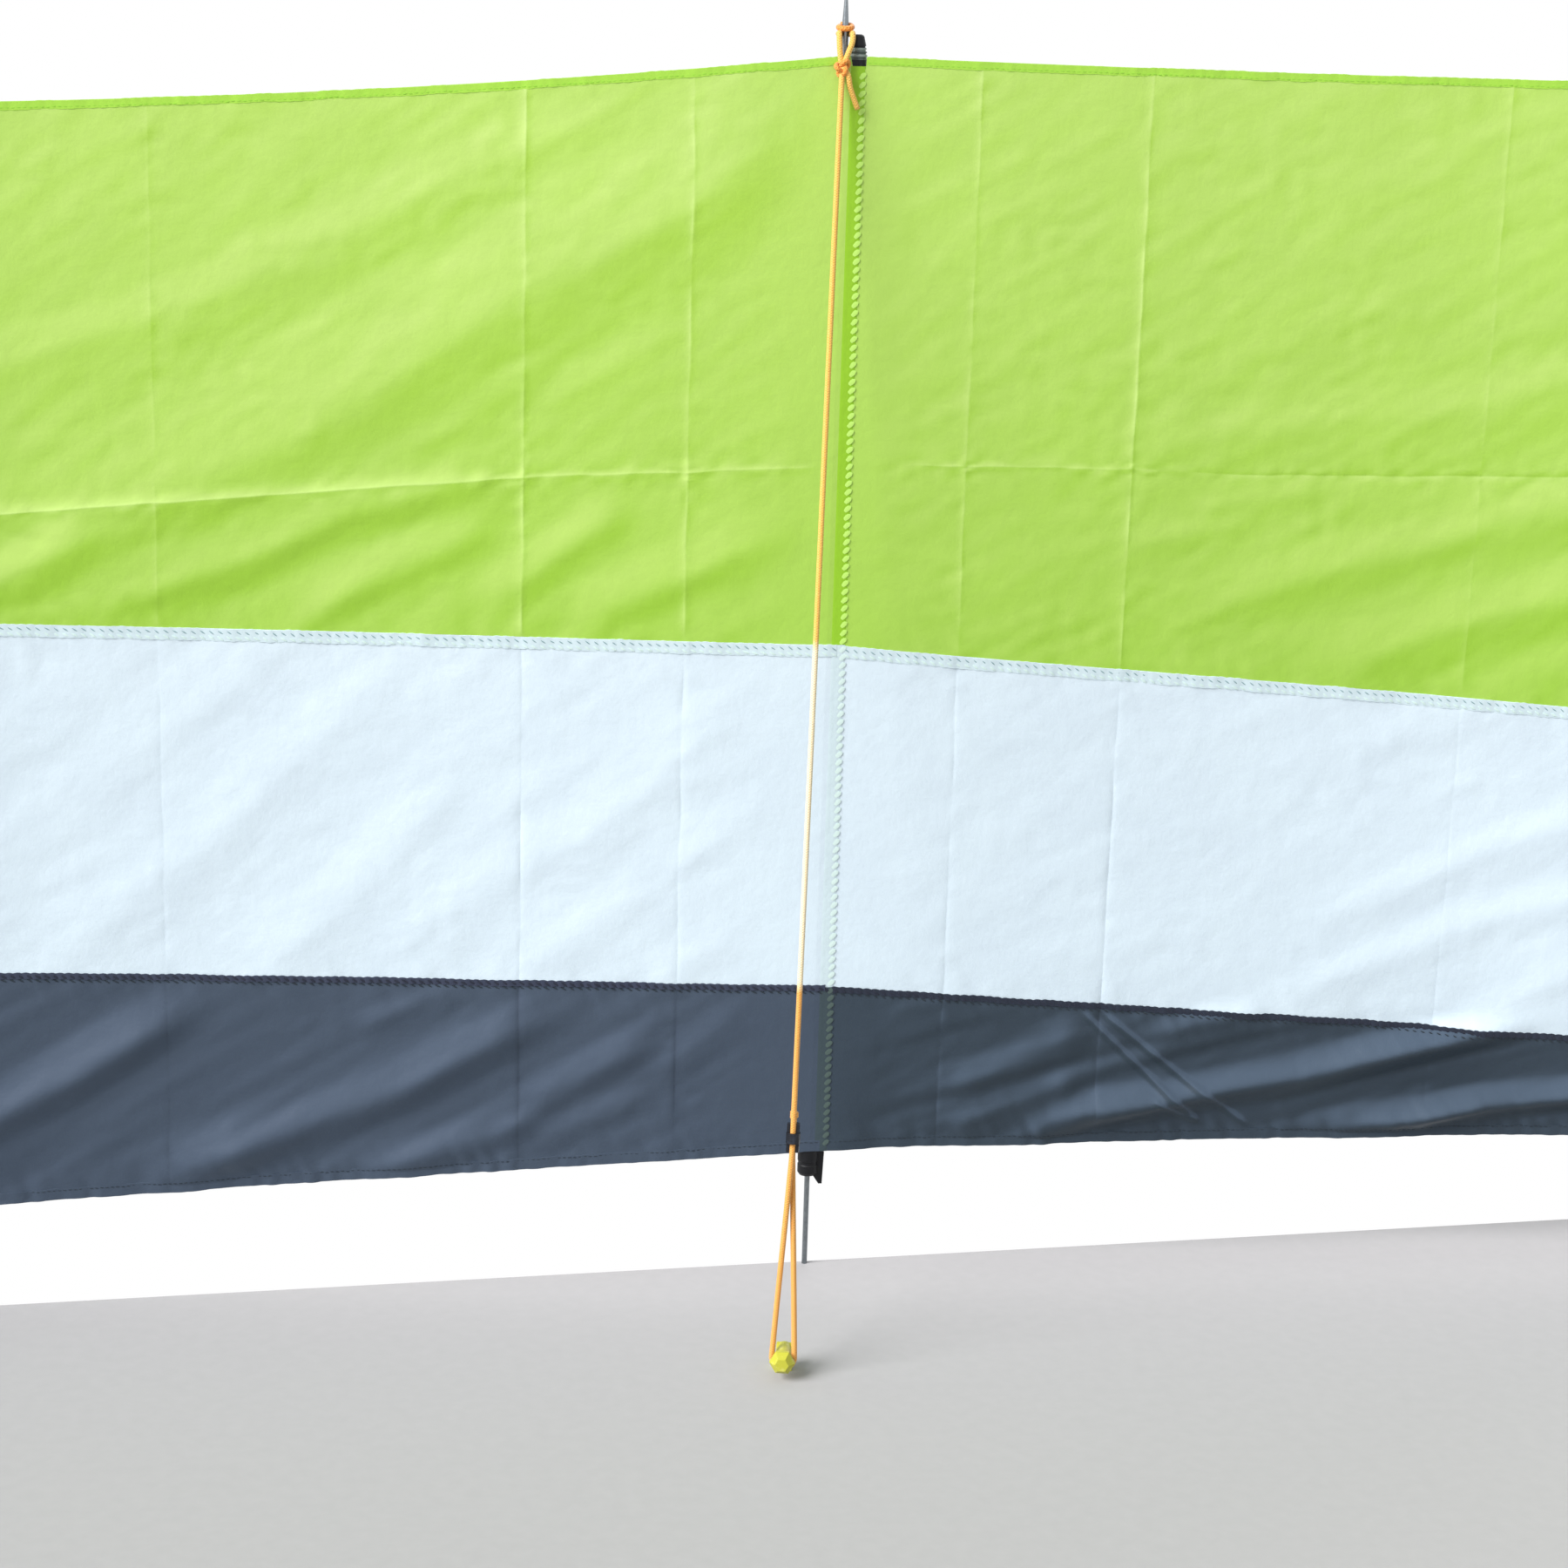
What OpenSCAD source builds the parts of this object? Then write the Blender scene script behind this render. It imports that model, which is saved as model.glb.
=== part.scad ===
// Beach windbreak: a three-band cloth sewn to four poles, each pole stayed by one guy line.
// Millimetres, +Z up. The ground is z = 0, the middle bay runs along X, and the front faces -Y.
// The origin is on the ground under the third pole from the left.

/* [Cloth] */
// Distance between neighbouring poles
bay_width = 1200; // [1000:10:1500]
// Height of the cloth from hem to hem
cloth_height = 1200; // [1150:10:1400]
// Thickness of one layer of cloth
cloth_thick = 1.2; // [0.8:0.1:1.6]
// Width of the upper band at the third pole
upper_band = 618; // [450:1:680]
// Width of the middle band
middle_band = 388; // [250:1:440]
// Fall of the band seams over one bay, from left to right
band_fall = 96; // [0:1:130]
// Dip of the top hem halfway between two poles, in the two left bays
left_sag = 15; // [0:1:30]
// Dip of the top hem halfway between two poles, in the right bay
right_sag = 4; // [0:1:30]
// Height of the folded hems
hem_height = 14; // [8:1:24]

/* [Stance] */
// Height of the bottom hem over the ground at the third pole
hem_clear = 140; // [120:1:240]
// How much deeper the two left poles are set
left_set = 80; // [0:1:100]
// Turn of the cloth at each inner pole, in degrees
bend = 0; // [0:0.1:10]

/* [Poles] */
// Outside diameter of the pole tube
pole_dia = 19; // [16:0.5:22]
// Wall of the pole tube
pole_wall = 1.2; // [1:0.1:2]
// Width of the stitched seam beside the sleeve
sleeve_seam = 13.2; // [13:0.1:24]
// Diameter of the steel spike at the pole head
spike_dia = 7; // [5:0.1:7.2]
// Height of the spike tip over the top hem
spike_rise = 74; // [60:1:110]
// Diameter of the steel pin that goes into the ground
pin_dia = 6; // [5:0.5:10]

/* [Fittings] */
// Diameter of the head cap at its rim
cap_rim_dia = 20.6; // [18:0.1:21]
// Diameter of the head cap at its crown
cap_crown_dia = 13.4; // [10:0.1:15]
// Height of the head cap
cap_height = 32; // [30:0.5:36]
// Thickness of the plate that joins the head cap to the pole
plate_thick = 6; // [4:0.5:8]
// Height of the foot ferrule
foot_height = 31; // [24:0.5:33]
// Wall of the foot ferrule
foot_wall = 1.9; // [1.4:0.1:3]

/* [Guy lines] */
// Diameter of the cord
cord_dia = 6; // [3:0.1:6.4]
// How far in front of the pole the peg stands
peg_reach = 295; // [220:1:500]
// How far left of the pole the peg stands
peg_left = 55; // [0:1:80]
// Diameter of the peg's hook arm
peg_arm = 17; // [10:0.5:18]
// Distance from the peg to the line runner
runner_up = 215; // [150:1:400]
// Length of the line runner
runner_length = 30; // [24:1:40]

/* [Hidden] */
$fn = 48;

green = "#b7de69";
pale = "#e4f3fc";
slate = "#48576a";
black = "#1c1d1f";
steel = "#b9bcc0";
orange = "#f5a83c";
lime = "#c6cf3a";

// Gap between pieces that slide over each other
slip = 0.3;
// Gap between pieces that are pushed together
snug = 0.05;
pole_r = pole_dia / 2;
sleeve_r = pole_r + slip + cloth_thick;
seam_end = sleeve_r + sleeve_seam;
spike_r = spike_dia / 2;
pin_r = pin_dia / 2;
cord_r = cord_dia / 2;

// Places of the poles, and the turn of each bay and of each pole
pole_at = [
    [-bay_width * (1 + cos(bend)), bay_width * sin(bend)],
    [-bay_width, 0],
    [0, 0],
    [bay_width * cos(bend), bay_width * sin(bend)]
];
bay_turn = [-bend, 0, bend];
seam_turn = [-bend, 0, bend, bend + 180];
stay_turn = [-bend, -bend / 2, bend / 2, bend];
hem_z = [hem_clear - left_set, hem_clear - left_set, hem_clear, hem_clear];
top_sag = [left_sag, left_sag, right_sag];
function head_z(i) = hem_z[i] + cloth_height;

// Lines of the cloth in a bay, at a distance u from the bay's left pole
function hem_line(k, u) = hem_z[k] + (hem_z[k + 1] - hem_z[k]) * u / bay_width;
function top_line(k, u) =
    hem_line(k, u) + cloth_height - 4 * top_sag[k] * (u / bay_width) * (1 - u / bay_width);
function upper_seam(k, u) =
    hem_line(k, u) + cloth_height - upper_band - band_fall * (k - 2 + u / bay_width);
function lower_seam(k, u) = upper_seam(k, u) - middle_band;
function bay_start(k) = seam_end;
function bay_end(k) = bay_width - (k == 2 ? seam_end : sleeve_r);
sag_steps = 12;
function bay_steps(k) =
    [for (s = [0 : sag_steps]) bay_start(k) + (bay_end(k) - bay_start(k)) * s / sag_steps];

// A flat sheet that stands in the plane of a bay
module sheet(k, thick) {
    translate([pole_at[k][0], pole_at[k][1], 0])
        rotate([90, 0, bay_turn[k]])
            linear_extrude(thick, center = true) children();
}

module upper_panel(k) {
    steps = bay_steps(k);
    top = [for (u = steps) [u, top_line(k, u)]];
    under_hem = [for (s = [sag_steps : -1 : 0]) [steps[s], top_line(k, steps[s]) - hem_height]];
    ends = [bay_end(k), bay_start(k)];
    color(green) {
        sheet(k, cloth_thick) polygon(concat(top, [for (u = ends) [u, upper_seam(k, u)]]));
        sheet(k, 2 * cloth_thick) polygon(concat(top, under_hem));
    }
}

module middle_panel(k) {
    a = bay_start(k);
    b = bay_end(k);
    color(pale) sheet(k, cloth_thick) polygon([
        [a, upper_seam(k, a)], [b, upper_seam(k, b)],
        [b, lower_seam(k, b)], [a, lower_seam(k, a)]
    ]);
}

module lower_panel(k) {
    a = bay_start(k);
    b = bay_end(k);
    color(slate) {
        sheet(k, cloth_thick) polygon([
            [a, lower_seam(k, a)], [b, lower_seam(k, b)],
            [b, hem_line(k, b)], [a, hem_line(k, a)]
        ]);
        sheet(k, 2 * cloth_thick) polygon([
            [a, hem_line(k, a) + hem_height], [b, hem_line(k, b) + hem_height],
            [b, hem_line(k, b)], [a, hem_line(k, a)]
        ]);
    }
}

// Local frame of a pole, with +X towards the sleeve's seam
module at_pole(i) {
    translate([pole_at[i][0], pole_at[i][1], 0]) rotate([0, 0, seam_turn[i]]) children();
}

// The head fitting sits this far under the top hem
head_seat = 10;
plug_length = 30;
foot_grip = foot_height - 5;

module sleeve(i) {
    color(green) at_pole(i) translate([0, 0, hem_z[i]])
        linear_extrude(cloth_height - head_seat) difference() {
            union() {
                circle(r = sleeve_r);
                translate([0, -cloth_thick]) square([seam_end, 2 * cloth_thick]);
            }
            circle(r = pole_r + slip);
        }
}

module pole(i) {
    bottom = hem_z[i] - foot_grip;
    color(steel) at_pole(i) translate([0, 0, bottom])
        linear_extrude(head_z(i) - head_seat - bottom) difference() {
            circle(r = pole_r);
            circle(r = pole_r - pole_wall);
        }
}

// Bell-shaped cap with a ribbed band, as a profile from its rim to its crown
cap_rim_r = cap_rim_dia / 2;
cap_crown_r = cap_crown_dia / 2;
cap_round = 4;
rib_count = 4;
cap_rim_height = 8;
cap_band_height = 14;
function cap_wall(z) = cap_rim_r + (cap_crown_r - cap_rim_r) * max(0, z - cap_rim_height)
    / (cap_height - cap_rim_height);
module cap_profile() {
    rib = cap_band_height / (2 * rib_count);
    ribs = [for (n = [0 : rib_count - 1], s = [[0, 1], [1, 1], [1, 0], [2, 0]])
        let (z = cap_rim_height + (2 * n + s[0]) * rib) [cap_wall(z) - 0.9 * s[1], z]];
    crown = [for (a = [0 : 15 : 90])
        [cap_crown_r - cap_round + cap_round * cos(a), cap_height - cap_round + cap_round * sin(a)]];
    polygon(concat([[0, 0], [cap_rim_r, 0]], ribs, crown, [[0, cap_height]]));
}

cap_x = seam_end - cap_rim_r;
module head_fitting(i) {
    seat = head_z(i) - head_seat;
    color(black) at_pole(i) translate([0, 0, seat]) difference() {
        union() {
            linear_extrude(plate_thick) {
                circle(r = sleeve_r);
                translate([0, -cap_rim_r]) square([cap_x, 2 * cap_rim_r]);
            }
            translate([cap_x, 0, 0]) rotate_extrude() cap_profile();
            translate([0, 0, -plug_length])
                cylinder(r = pole_r - pole_wall - snug, h = plug_length + 1);
        }
        translate([0, 0, -plug_length - 1])
            cylinder(r = spike_r + snug, h = plug_length + cap_height + 2);
    }
}

spike_straight = 30;
spike_tip_r = 0.9;
module spike(i) {
    root = head_z(i) - head_seat - plug_length;
    shoulder = head_z(i) + spike_straight;
    color(steel) at_pole(i) translate([0, 0, root]) rotate_extrude() polygon([
        [0, 0], [spike_r, 0], [spike_r, shoulder - root],
        [spike_tip_r, head_z(i) + spike_rise - root - 1], [0, head_z(i) + spike_rise - root]
    ]);
}

// Ferrule on the pole's lower end, with the tapered leg that hooks the sleeve's seam
foot_r = pole_r + snug + foot_wall;
leg_width = 6.5;
leg_thick = 7;
leg_below = 11;
module foot(i) {
    top = hem_z[i];
    leg_end = max(2, top - foot_height - leg_below);
    color(black) at_pole(i) {
        difference() {
            union() {
                translate([0, 0, top - foot_height]) rotate_extrude() polygon([
                    [0, 0], [foot_r - 2, 0], [foot_r, 3], [foot_r, 12], [foot_r - 0.7, 13],
                    [foot_r - 0.7, 16], [foot_r, 17], [foot_r, foot_height], [0, foot_height]
                ]);
                rotate([90, 0, 0]) linear_extrude(leg_thick, center = true) polygon([
                    [0, top - foot_height + 8], [foot_r + 1, leg_end], [foot_r + leg_width - 1.5, leg_end],
                    [foot_r + leg_width, top - 4], [foot_r + leg_width - 4, top], [0, top]
                ]);
            }
            translate([0, 0, top - foot_grip]) cylinder(r = pole_r + snug, h = foot_grip + 1);
            translate([0, 0, top - foot_height - 1]) cylinder(r = pin_r + snug, h = foot_height);
        }
    }
}

pin_root = 15;
module ground_pin(i) {
    color(steel) at_pole(i) cylinder(r = pin_r, h = hem_z[i] + pin_root);
}

// Guy lines: each runs from a loop on the spike, through its runner, round its peg and back
function unit(v) = v / norm(v);
knot_r = 6;
stop_r = 4.2;
peg_arm_z = 22;
runner_half_gap = cord_r + 1.1;
function knot_at(i) = [-4, -(sleeve_r + knot_r + 1), head_z(i) - 12];
hook_at = [-peg_left, -peg_reach, peg_arm_z];
function line_up(i) = unit(knot_at(i) - hook_at);
function line_side(i) = unit(cross([0, 0, 1], line_up(i)));
function line_front(i) = cross(line_up(i), line_side(i));
function runner_low(i) = hook_at + runner_up * line_up(i);
function runner_high(i) = runner_low(i) + runner_length * line_up(i);
hook_turn_r = peg_arm / 2 + cord_r + slip;

// The cord's two strands on the spike, and the turn of cord that lies over them
loop_up = 25;
function loop_r() = spike_r + cord_r + slip;
function spike_loop(i) =
    let (k = knot_at(i), z = head_z(i))
    concat(
        [for (d = [0.4, 4]) k + (knot_r + d) * unit([-0.7, 0, 1])],
        [[-7.5, -15, z + 6], [-7, -12, z + 16], [-6.8, -7.5, z + loop_up - 2]],
        [for (a = [205 : -25 : -25]) [loop_r() * cos(a), loop_r() * sin(a), z + loop_up]],
        [[6.8, -7.5, z + loop_up - 2], [7, -12, z + 16], [6.5, -15.5, z + 6]],
        [for (d = [4, 0.4]) k + (knot_r + d) * unit([0.7, 0, 1])]
    );
function tail_end(i) =
    let (k = knot_at(i), z = head_z(i))
    concat([for (d = [0.4, 4]) k + (knot_r + d) * unit([1, 0, -0.45])],
        [[11, -17, z - 34], [19, -15, z - 54]]);
function stay(i) =
    let (up = line_up(i), side = line_side(i), low = runner_low(i), high = runner_high(i),
        apart = runner_half_gap * line_front(i))
    concat(
        [knot_at(i) - (knot_r + 0.2) * up, high + apart, low + apart],
        [for (a = [0 : 20 : 180]) hook_at + hook_turn_r * (cos(a) * side - sin(a) * up)],
        [low - apart, high - apart, high - apart + 4 * up]
    );

// A round cord swept along a list of points
cord_sides = 8;
function headings(p) =
    [for (n = [0 : len(p) - 1]) unit(p[min(n + 1, len(p) - 1)] - p[max(n - 1, 0)])];
function carried(t, v, n = 0) = n == len(t) ? [] :
    let (w = unit(v - (v * t[n]) * t[n])) concat([w], carried(t, w, n + 1));
module cord(p) {
    t = headings(p);
    v = carried(t, unit(cross(t[0], [0.31, 0.87, 0.4])));
    s = cord_sides;
    last = len(p) - 1;
    rings = [for (n = [0 : last], m = [0 : s - 1])
        let (a = 360 * m / s) p[n] + cord_r * (cos(a) * v[n] + sin(a) * cross(t[n], v[n]))];
    walls = [for (n = [0 : last - 1], m = [0 : s - 1], h = [0, 1])
        let (a = n * s + m, b = n * s + (m + 1) % s)
        h == 0 ? [a, a + s, b] : [b, a + s, b + s]];
    polyhedron(rings, concat(walls, [[for (m = [0 : s - 1]) m],
        [for (m = [s - 1 : -1 : 0]) last * s + m]]));
}

module at_stay(i) {
    translate([pole_at[i][0], pole_at[i][1], 0]) rotate([0, 0, stay_turn[i]]) children();
}

module guy_line(i) {
    color(orange) at_stay(i) {
        cord(spike_loop(i));
        cord(tail_end(i));
        cord(stay(i));
        translate([0, 0, head_z(i) + loop_up + cord_dia + slip])
            rotate_extrude() translate([loop_r(), 0]) circle(r = cord_r);
        translate(knot_at(i)) sphere(r = knot_r - 0.2);
        translate(runner_high(i) - runner_half_gap * line_front(i) + (4 + slip + stop_r) * line_up(i))
            sphere(r = stop_r);
    }
}

// Slide with a channel and a bore for the two strands, and a bridge over the front one
runner_side = 3.5;
bridge_length = 11;
module runner_outline(grow) {
    for (s = [-1, 1]) translate([s * runner_half_gap, 0]) circle(r = cord_r + runner_side + grow);
    square([2 * runner_half_gap, 2 * (cord_r + runner_side + grow)], center = true);
}
module runner(i) {
    up = line_up(i);
    bridge_low = (runner_length - bridge_length) / 2;
    wide = 4 * (cord_r + runner_side);
    color(black) at_stay(i) translate(runner_low(i))
        rotate([0, acos(up[2]), atan2(up[1], up[0])]) difference() {
            union() {
                linear_extrude(runner_length) runner_outline(0);
                translate([0, 0, bridge_low]) linear_extrude(bridge_length) runner_outline(0.8);
            }
            for (s = [-1, 1]) translate([s * runner_half_gap, 0, -1])
                cylinder(r = cord_r + slip, h = runner_length + 2);
            for (z = [-1, bridge_low + bridge_length])
                translate([-wide - runner_half_gap, -wide / 2, z]) cube([wide, wide, bridge_low + 1]);
        }
}

// Moulded peg, cut at the ground: a shank with a round arm, and a faceted head that keeps the cord on
peg_shank = 14;
peg_head_r = 13.5;
peg_head_long = 11;
module peg(i) {
    up = line_up(i);
    half = peg_arm / 2;
    back = -(cord_r + 11);
    head_start = cord_r + 4.2;
    arm_start = back - peg_shank / 2;
    color(lime) at_stay(i) translate([hook_at[0], hook_at[1], 0])
        rotate([0, 0, atan2(up[1], up[0]) + 180]) {
            translate([back - peg_shank, -half, 0]) cube([peg_shank, peg_arm, peg_arm_z]);
            translate([arm_start, 0, peg_arm_z]) rotate([90, 0, 0])
                cylinder(r = peg_shank / 2, h = peg_arm, center = true);
            translate([arm_start, 0, peg_arm_z]) rotate([0, 90, 0])
                cylinder(r = half, h = head_start + 1 - arm_start);
            translate([head_start, 0, peg_arm_z - 1.5]) rotate([0, 90, 0]) rotate([0, 0, 90]) {
                cylinder(r = peg_head_r, h = 4, $fn = 6);
                translate([0, 0, 4])
                    cylinder(r1 = peg_head_r, r2 = 0.55 * peg_head_r, h = peg_head_long - 4, $fn = 6);
            }
        }
}

upper_panel(0);  // upper_panel_1
upper_panel(1);  // upper_panel_2
upper_panel(2);  // upper_panel_3
middle_panel(0);  // middle_panel_1
middle_panel(1);  // middle_panel_2
middle_panel(2);  // middle_panel_3
lower_panel(0);  // lower_panel_1
lower_panel(1);  // lower_panel_2
lower_panel(2);  // lower_panel_3
sleeve(0);  // sleeve_1
sleeve(1);  // sleeve_2
sleeve(2);  // sleeve_3
sleeve(3);  // sleeve_4
pole(0);  // pole_1
pole(1);  // pole_2
pole(2);  // pole_3
pole(3);  // pole_4
head_fitting(0);  // head_fitting_1
head_fitting(1);  // head_fitting_2
head_fitting(2);  // head_fitting_3
head_fitting(3);  // head_fitting_4
spike(0);  // spike_1
spike(1);  // spike_2
spike(2);  // spike_3
spike(3);  // spike_4
foot(0);  // foot_1
foot(1);  // foot_2
foot(2);  // foot_3
foot(3);  // foot_4
ground_pin(0);  // ground_pin_1
ground_pin(1);  // ground_pin_2
ground_pin(2);  // ground_pin_3
ground_pin(3);  // ground_pin_4
guy_line(0);  // guy_line_1
guy_line(1);  // guy_line_2
guy_line(2);  // guy_line_3
guy_line(3);  // guy_line_4
runner(0);  // runner_1
runner(1);  // runner_2
runner(2);  // runner_3
runner(3);  // runner_4
peg(0);  // peg_1
peg(1);  // peg_2
peg(2);  // peg_3
peg(3);  // peg_4
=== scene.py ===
import math

import bpy
import numpy as np
from mathutils import Matrix, Vector


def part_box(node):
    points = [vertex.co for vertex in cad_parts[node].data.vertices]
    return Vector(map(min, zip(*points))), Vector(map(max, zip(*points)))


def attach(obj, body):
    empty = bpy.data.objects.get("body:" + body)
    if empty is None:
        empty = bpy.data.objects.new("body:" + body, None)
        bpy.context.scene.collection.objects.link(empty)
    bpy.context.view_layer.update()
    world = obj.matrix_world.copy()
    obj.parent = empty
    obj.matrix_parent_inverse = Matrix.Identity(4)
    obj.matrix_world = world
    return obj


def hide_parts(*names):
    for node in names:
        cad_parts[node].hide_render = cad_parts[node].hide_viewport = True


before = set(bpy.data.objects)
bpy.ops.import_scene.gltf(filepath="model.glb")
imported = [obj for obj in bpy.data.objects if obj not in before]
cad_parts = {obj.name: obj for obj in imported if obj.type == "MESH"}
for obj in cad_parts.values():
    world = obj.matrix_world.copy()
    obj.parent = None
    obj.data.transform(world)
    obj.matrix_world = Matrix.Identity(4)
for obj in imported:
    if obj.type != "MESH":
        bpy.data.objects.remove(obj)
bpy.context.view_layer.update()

# Sizes in metres, as in the part's source; places are read from the parts of model.glb.
MM = 0.001
CLOTH_HEIGHT = 1.200
UPPER_BAND = 0.618
MIDDLE_BAND = 0.388
BAND_FALL = 0.096
TOP_SAG = np.array((0.015, 0.015, 0.004))
CLOTH_THICK = 0.0007
SLEEVE_THICK = 0.0006
SEAM_END = 0.0242
TOP_HEM_TALL = 0.0085
LOW_HEM_TALL = 0.0130
HEM_THICK = 0.0014
FELL_TALL = 0.0135
FELL_THICK = 0.0018
LIP_TALL = 0.0066
LIP_THICK = 0.0024
LIP_LIFT = 0.0025
HEAD_SEAT = 0.010
CORD_DIA = 0.006
PEG_REACH = 0.295
PEG_LEFT = 0.055
PEG_HOOK_Z = 0.022
RUNNER_UP = 0.215
RUNNER_LENGTH = 0.030
RUNNER_HALF_GAP = 0.0041
HOOK_TURN = 0.0118
LOOP_UP = 0.022
LOOP_RADIUS = 0.0068

BAYS = 3
POLES = BAYS + 1


def middle_x(node):
    low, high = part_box(node)
    return (low.x + high.x) / 2


POLE_X = np.array([middle_x(f"pole_{i + 1}") for i in range(POLES)])
HEM_Z = np.array([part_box(f"sleeve_{i + 1}")[0].z for i in range(POLES)])
HEAD_Z = HEM_Z + CLOTH_HEIGHT
BAY = float(POLE_X[1] - POLE_X[0])
MAIN_X = float(POLE_X[2])

# The side of each pole that its seam is on, and the notch in the top edge for the cap that stands there.
SEAM_SIDE = np.array((1.0, 1.0, 1.0, -1.0))
CAP_OFFSET = 0.0139
CAP_X = POLE_X + CAP_OFFSET * SEAM_SIDE
CAP_CLEAR = 0.0084
CAP_EDGE = 0.0006
CAP_DIP = 0.0125

# The wrap of a bay's cloth over the front of the next pole, and the seam beside it.
WRAP_RADIUS = 0.0116
WRAP_START = 0.550
WRAP_TURN = math.radians(4.0)
WRAP_ARC_POINTS = 3
WRAP_RUNS = np.array((0.0018, 0.0036, 0.0041, 0.0048, 0.0072, 0.0108))
SEAM_FRONT = 0.0099
SEAM_START = 0.0088

# How far each bay stands back behind the poles, where it is deepest, and where it is in line again.
RECEDE = np.array((0.006, 0.006, 0.010))
RECEDE_FROM = 0.024
RECEDE_RUN = np.array((0.350, 0.350, 0.700))
RECEDE_BACK = np.array((0.700, 0.700, 0.420))
LAST_RUN = 0.045

# How far each bay's foot leans back, up to what height, and over what run from each pole.
LEAN_BACK = np.array((0.0, 0.0, 0.012))
LEAN_RISE = 0.240
LEAN_RUN = 0.08
LEAN_END = 0.30

# Where the folds and the packing creases set in past a pole and end before the next: the start and the run.
CALM = ((0.018, 0.090), (0.010, 0.130))
PRESSED = ((0.075, 0.040), (0.016, 0.020))

# Where the key light comes from, and the turn to it at which each band's painted highlight is full; as far
# turned away, its painted shade is full.
KEY_FROM = (-0.71, -0.39, 0.59)
FULL_TURN = (0.25, 0.25, 0.95)

# Camera fitted to the picture: 1800 px square, no shift.
PICTURE = 1800
FOCAL_PX = 3400.0
SENSOR_MM = 36.0
CLIP_START = 0.05
CAMERA_AT = Vector((-0.3820, -3.1282, 1.3503))
CAMERA_YAW = math.radians(6.242)
CAMERA_PITCH = math.radians(14.028)
CAMERA_ROLL = math.radians(1.735)


def camera_axes():
    """Right, up and forward of the camera, as unit vectors."""
    flat = math.cos(CAMERA_PITCH)
    ahead = (math.sin(CAMERA_YAW) * flat, math.cos(CAMERA_YAW) * flat, -math.sin(CAMERA_PITCH))
    forward = Vector(ahead)
    level = Vector((math.cos(CAMERA_YAW), -math.sin(CAMERA_YAW), 0))
    rise = level.cross(forward)
    right = math.cos(CAMERA_ROLL) * level + math.sin(CAMERA_ROLL) * rise
    up = math.cos(CAMERA_ROLL) * rise - math.sin(CAMERA_ROLL) * level
    return right, up, forward


RIGHT, UP, FORWARD = camera_axes()


def sight(px, py):
    """The direction from the camera through a point of the picture."""
    half = PICTURE / 2
    return FORWARD + RIGHT * ((px - half) / FOCAL_PX) + UP * ((half - py) / FOCAL_PX)


def on_cloth(px, py):
    """Where the sight line meets the plane of the cloth: x, and the height above the bottom hem."""
    ray = sight(px, py)
    hit = CAMERA_AT + ray * (-CAMERA_AT.y / ray.y)
    return hit.x, hit.z - float(hem_line(hit.x))


def on_floor(px, py):
    ray = sight(px, py)
    return CAMERA_AT + ray * (-CAMERA_AT.z / ray.z)


def link(obj):
    bpy.context.scene.collection.objects.link(obj)
    return obj


def make_camera():
    data = bpy.data.cameras.new("camera")
    data.sensor_width = SENSOR_MM
    data.lens = FOCAL_PX / PICTURE * SENSOR_MM
    data.clip_start = CLIP_START
    camera = link(bpy.data.objects.new("camera", data))
    turn = Matrix((RIGHT, UP, -FORWARD)).transposed().to_4x4()
    camera.matrix_world = Matrix.Translation(CAMERA_AT) @ turn
    bpy.context.scene.camera = camera


# Small helpers.
def ease(t):
    """Smooth step from 0 to 1."""
    t = np.clip(t, 0, 1)
    return t * t * (3 - 2 * t)


def between(a, b, share):
    return a + (b - a) * share


def unit(v):
    """A vector, or each of a row of vectors, at unit length."""
    v = np.asarray(v, float)
    return v / np.linalg.norm(v, axis=-1, keepdims=True)


def length_run(path):
    """The length of a path up to each of its points."""
    return np.concatenate([[0], np.cumsum(np.linalg.norm(np.diff(path, axis=0), axis=1))])


# Lines of the cloth. Heights marked "rel" are above the bottom hem.
def in_bay(x):
    """The bay that x is in, and how far x is past its first pole and short of its next."""
    k = np.clip(np.searchsorted(POLE_X, x, side="right") - 1, 0, BAYS - 1)
    return k, x - POLE_X[k], POLE_X[k + 1] - x


def bay_local(x):
    """Place along the bay as at the third pole: bays left of it repeat, negative to its left."""
    k, past, to_next = in_bay(x)
    return np.where(k == BAYS - 1, past, -to_next)


def hem_line(x):
    return np.interp(x, POLE_X, HEM_Z)


def from_cap(x):
    return np.min(np.abs(np.asarray(x)[..., None] - CAP_X), axis=-1)


def cap_dip(x):
    """The top edge passes under the cap of each head fitting."""
    return CAP_DIP * ease((CAP_CLEAR - from_cap(x)) / CAP_EDGE)


def top_rel(x):
    k, past, _ = in_bay(x)
    t = np.clip(past / BAY, 0, 1)
    return CLOTH_HEIGHT - 4 * TOP_SAG[k] * t * (1 - t) - cap_dip(x)


def upper_seam_rel(x):
    return CLOTH_HEIGHT - UPPER_BAND - BAND_FALL * (np.asarray(x) - MAIN_X) / BAY


def lower_seam_rel(x):
    return upper_seam_rel(x) - MIDDLE_BAND


def bottom_rel(x):
    return np.zeros_like(np.asarray(x, float))


BAND_BLEND = 0.04


def below_line(line, x, h):
    """0 above a sewn line and 1 below it, blended over a little height."""
    return ease((line(x) - h) / BAND_BLEND + 0.5)


LATTICE = 128


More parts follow.
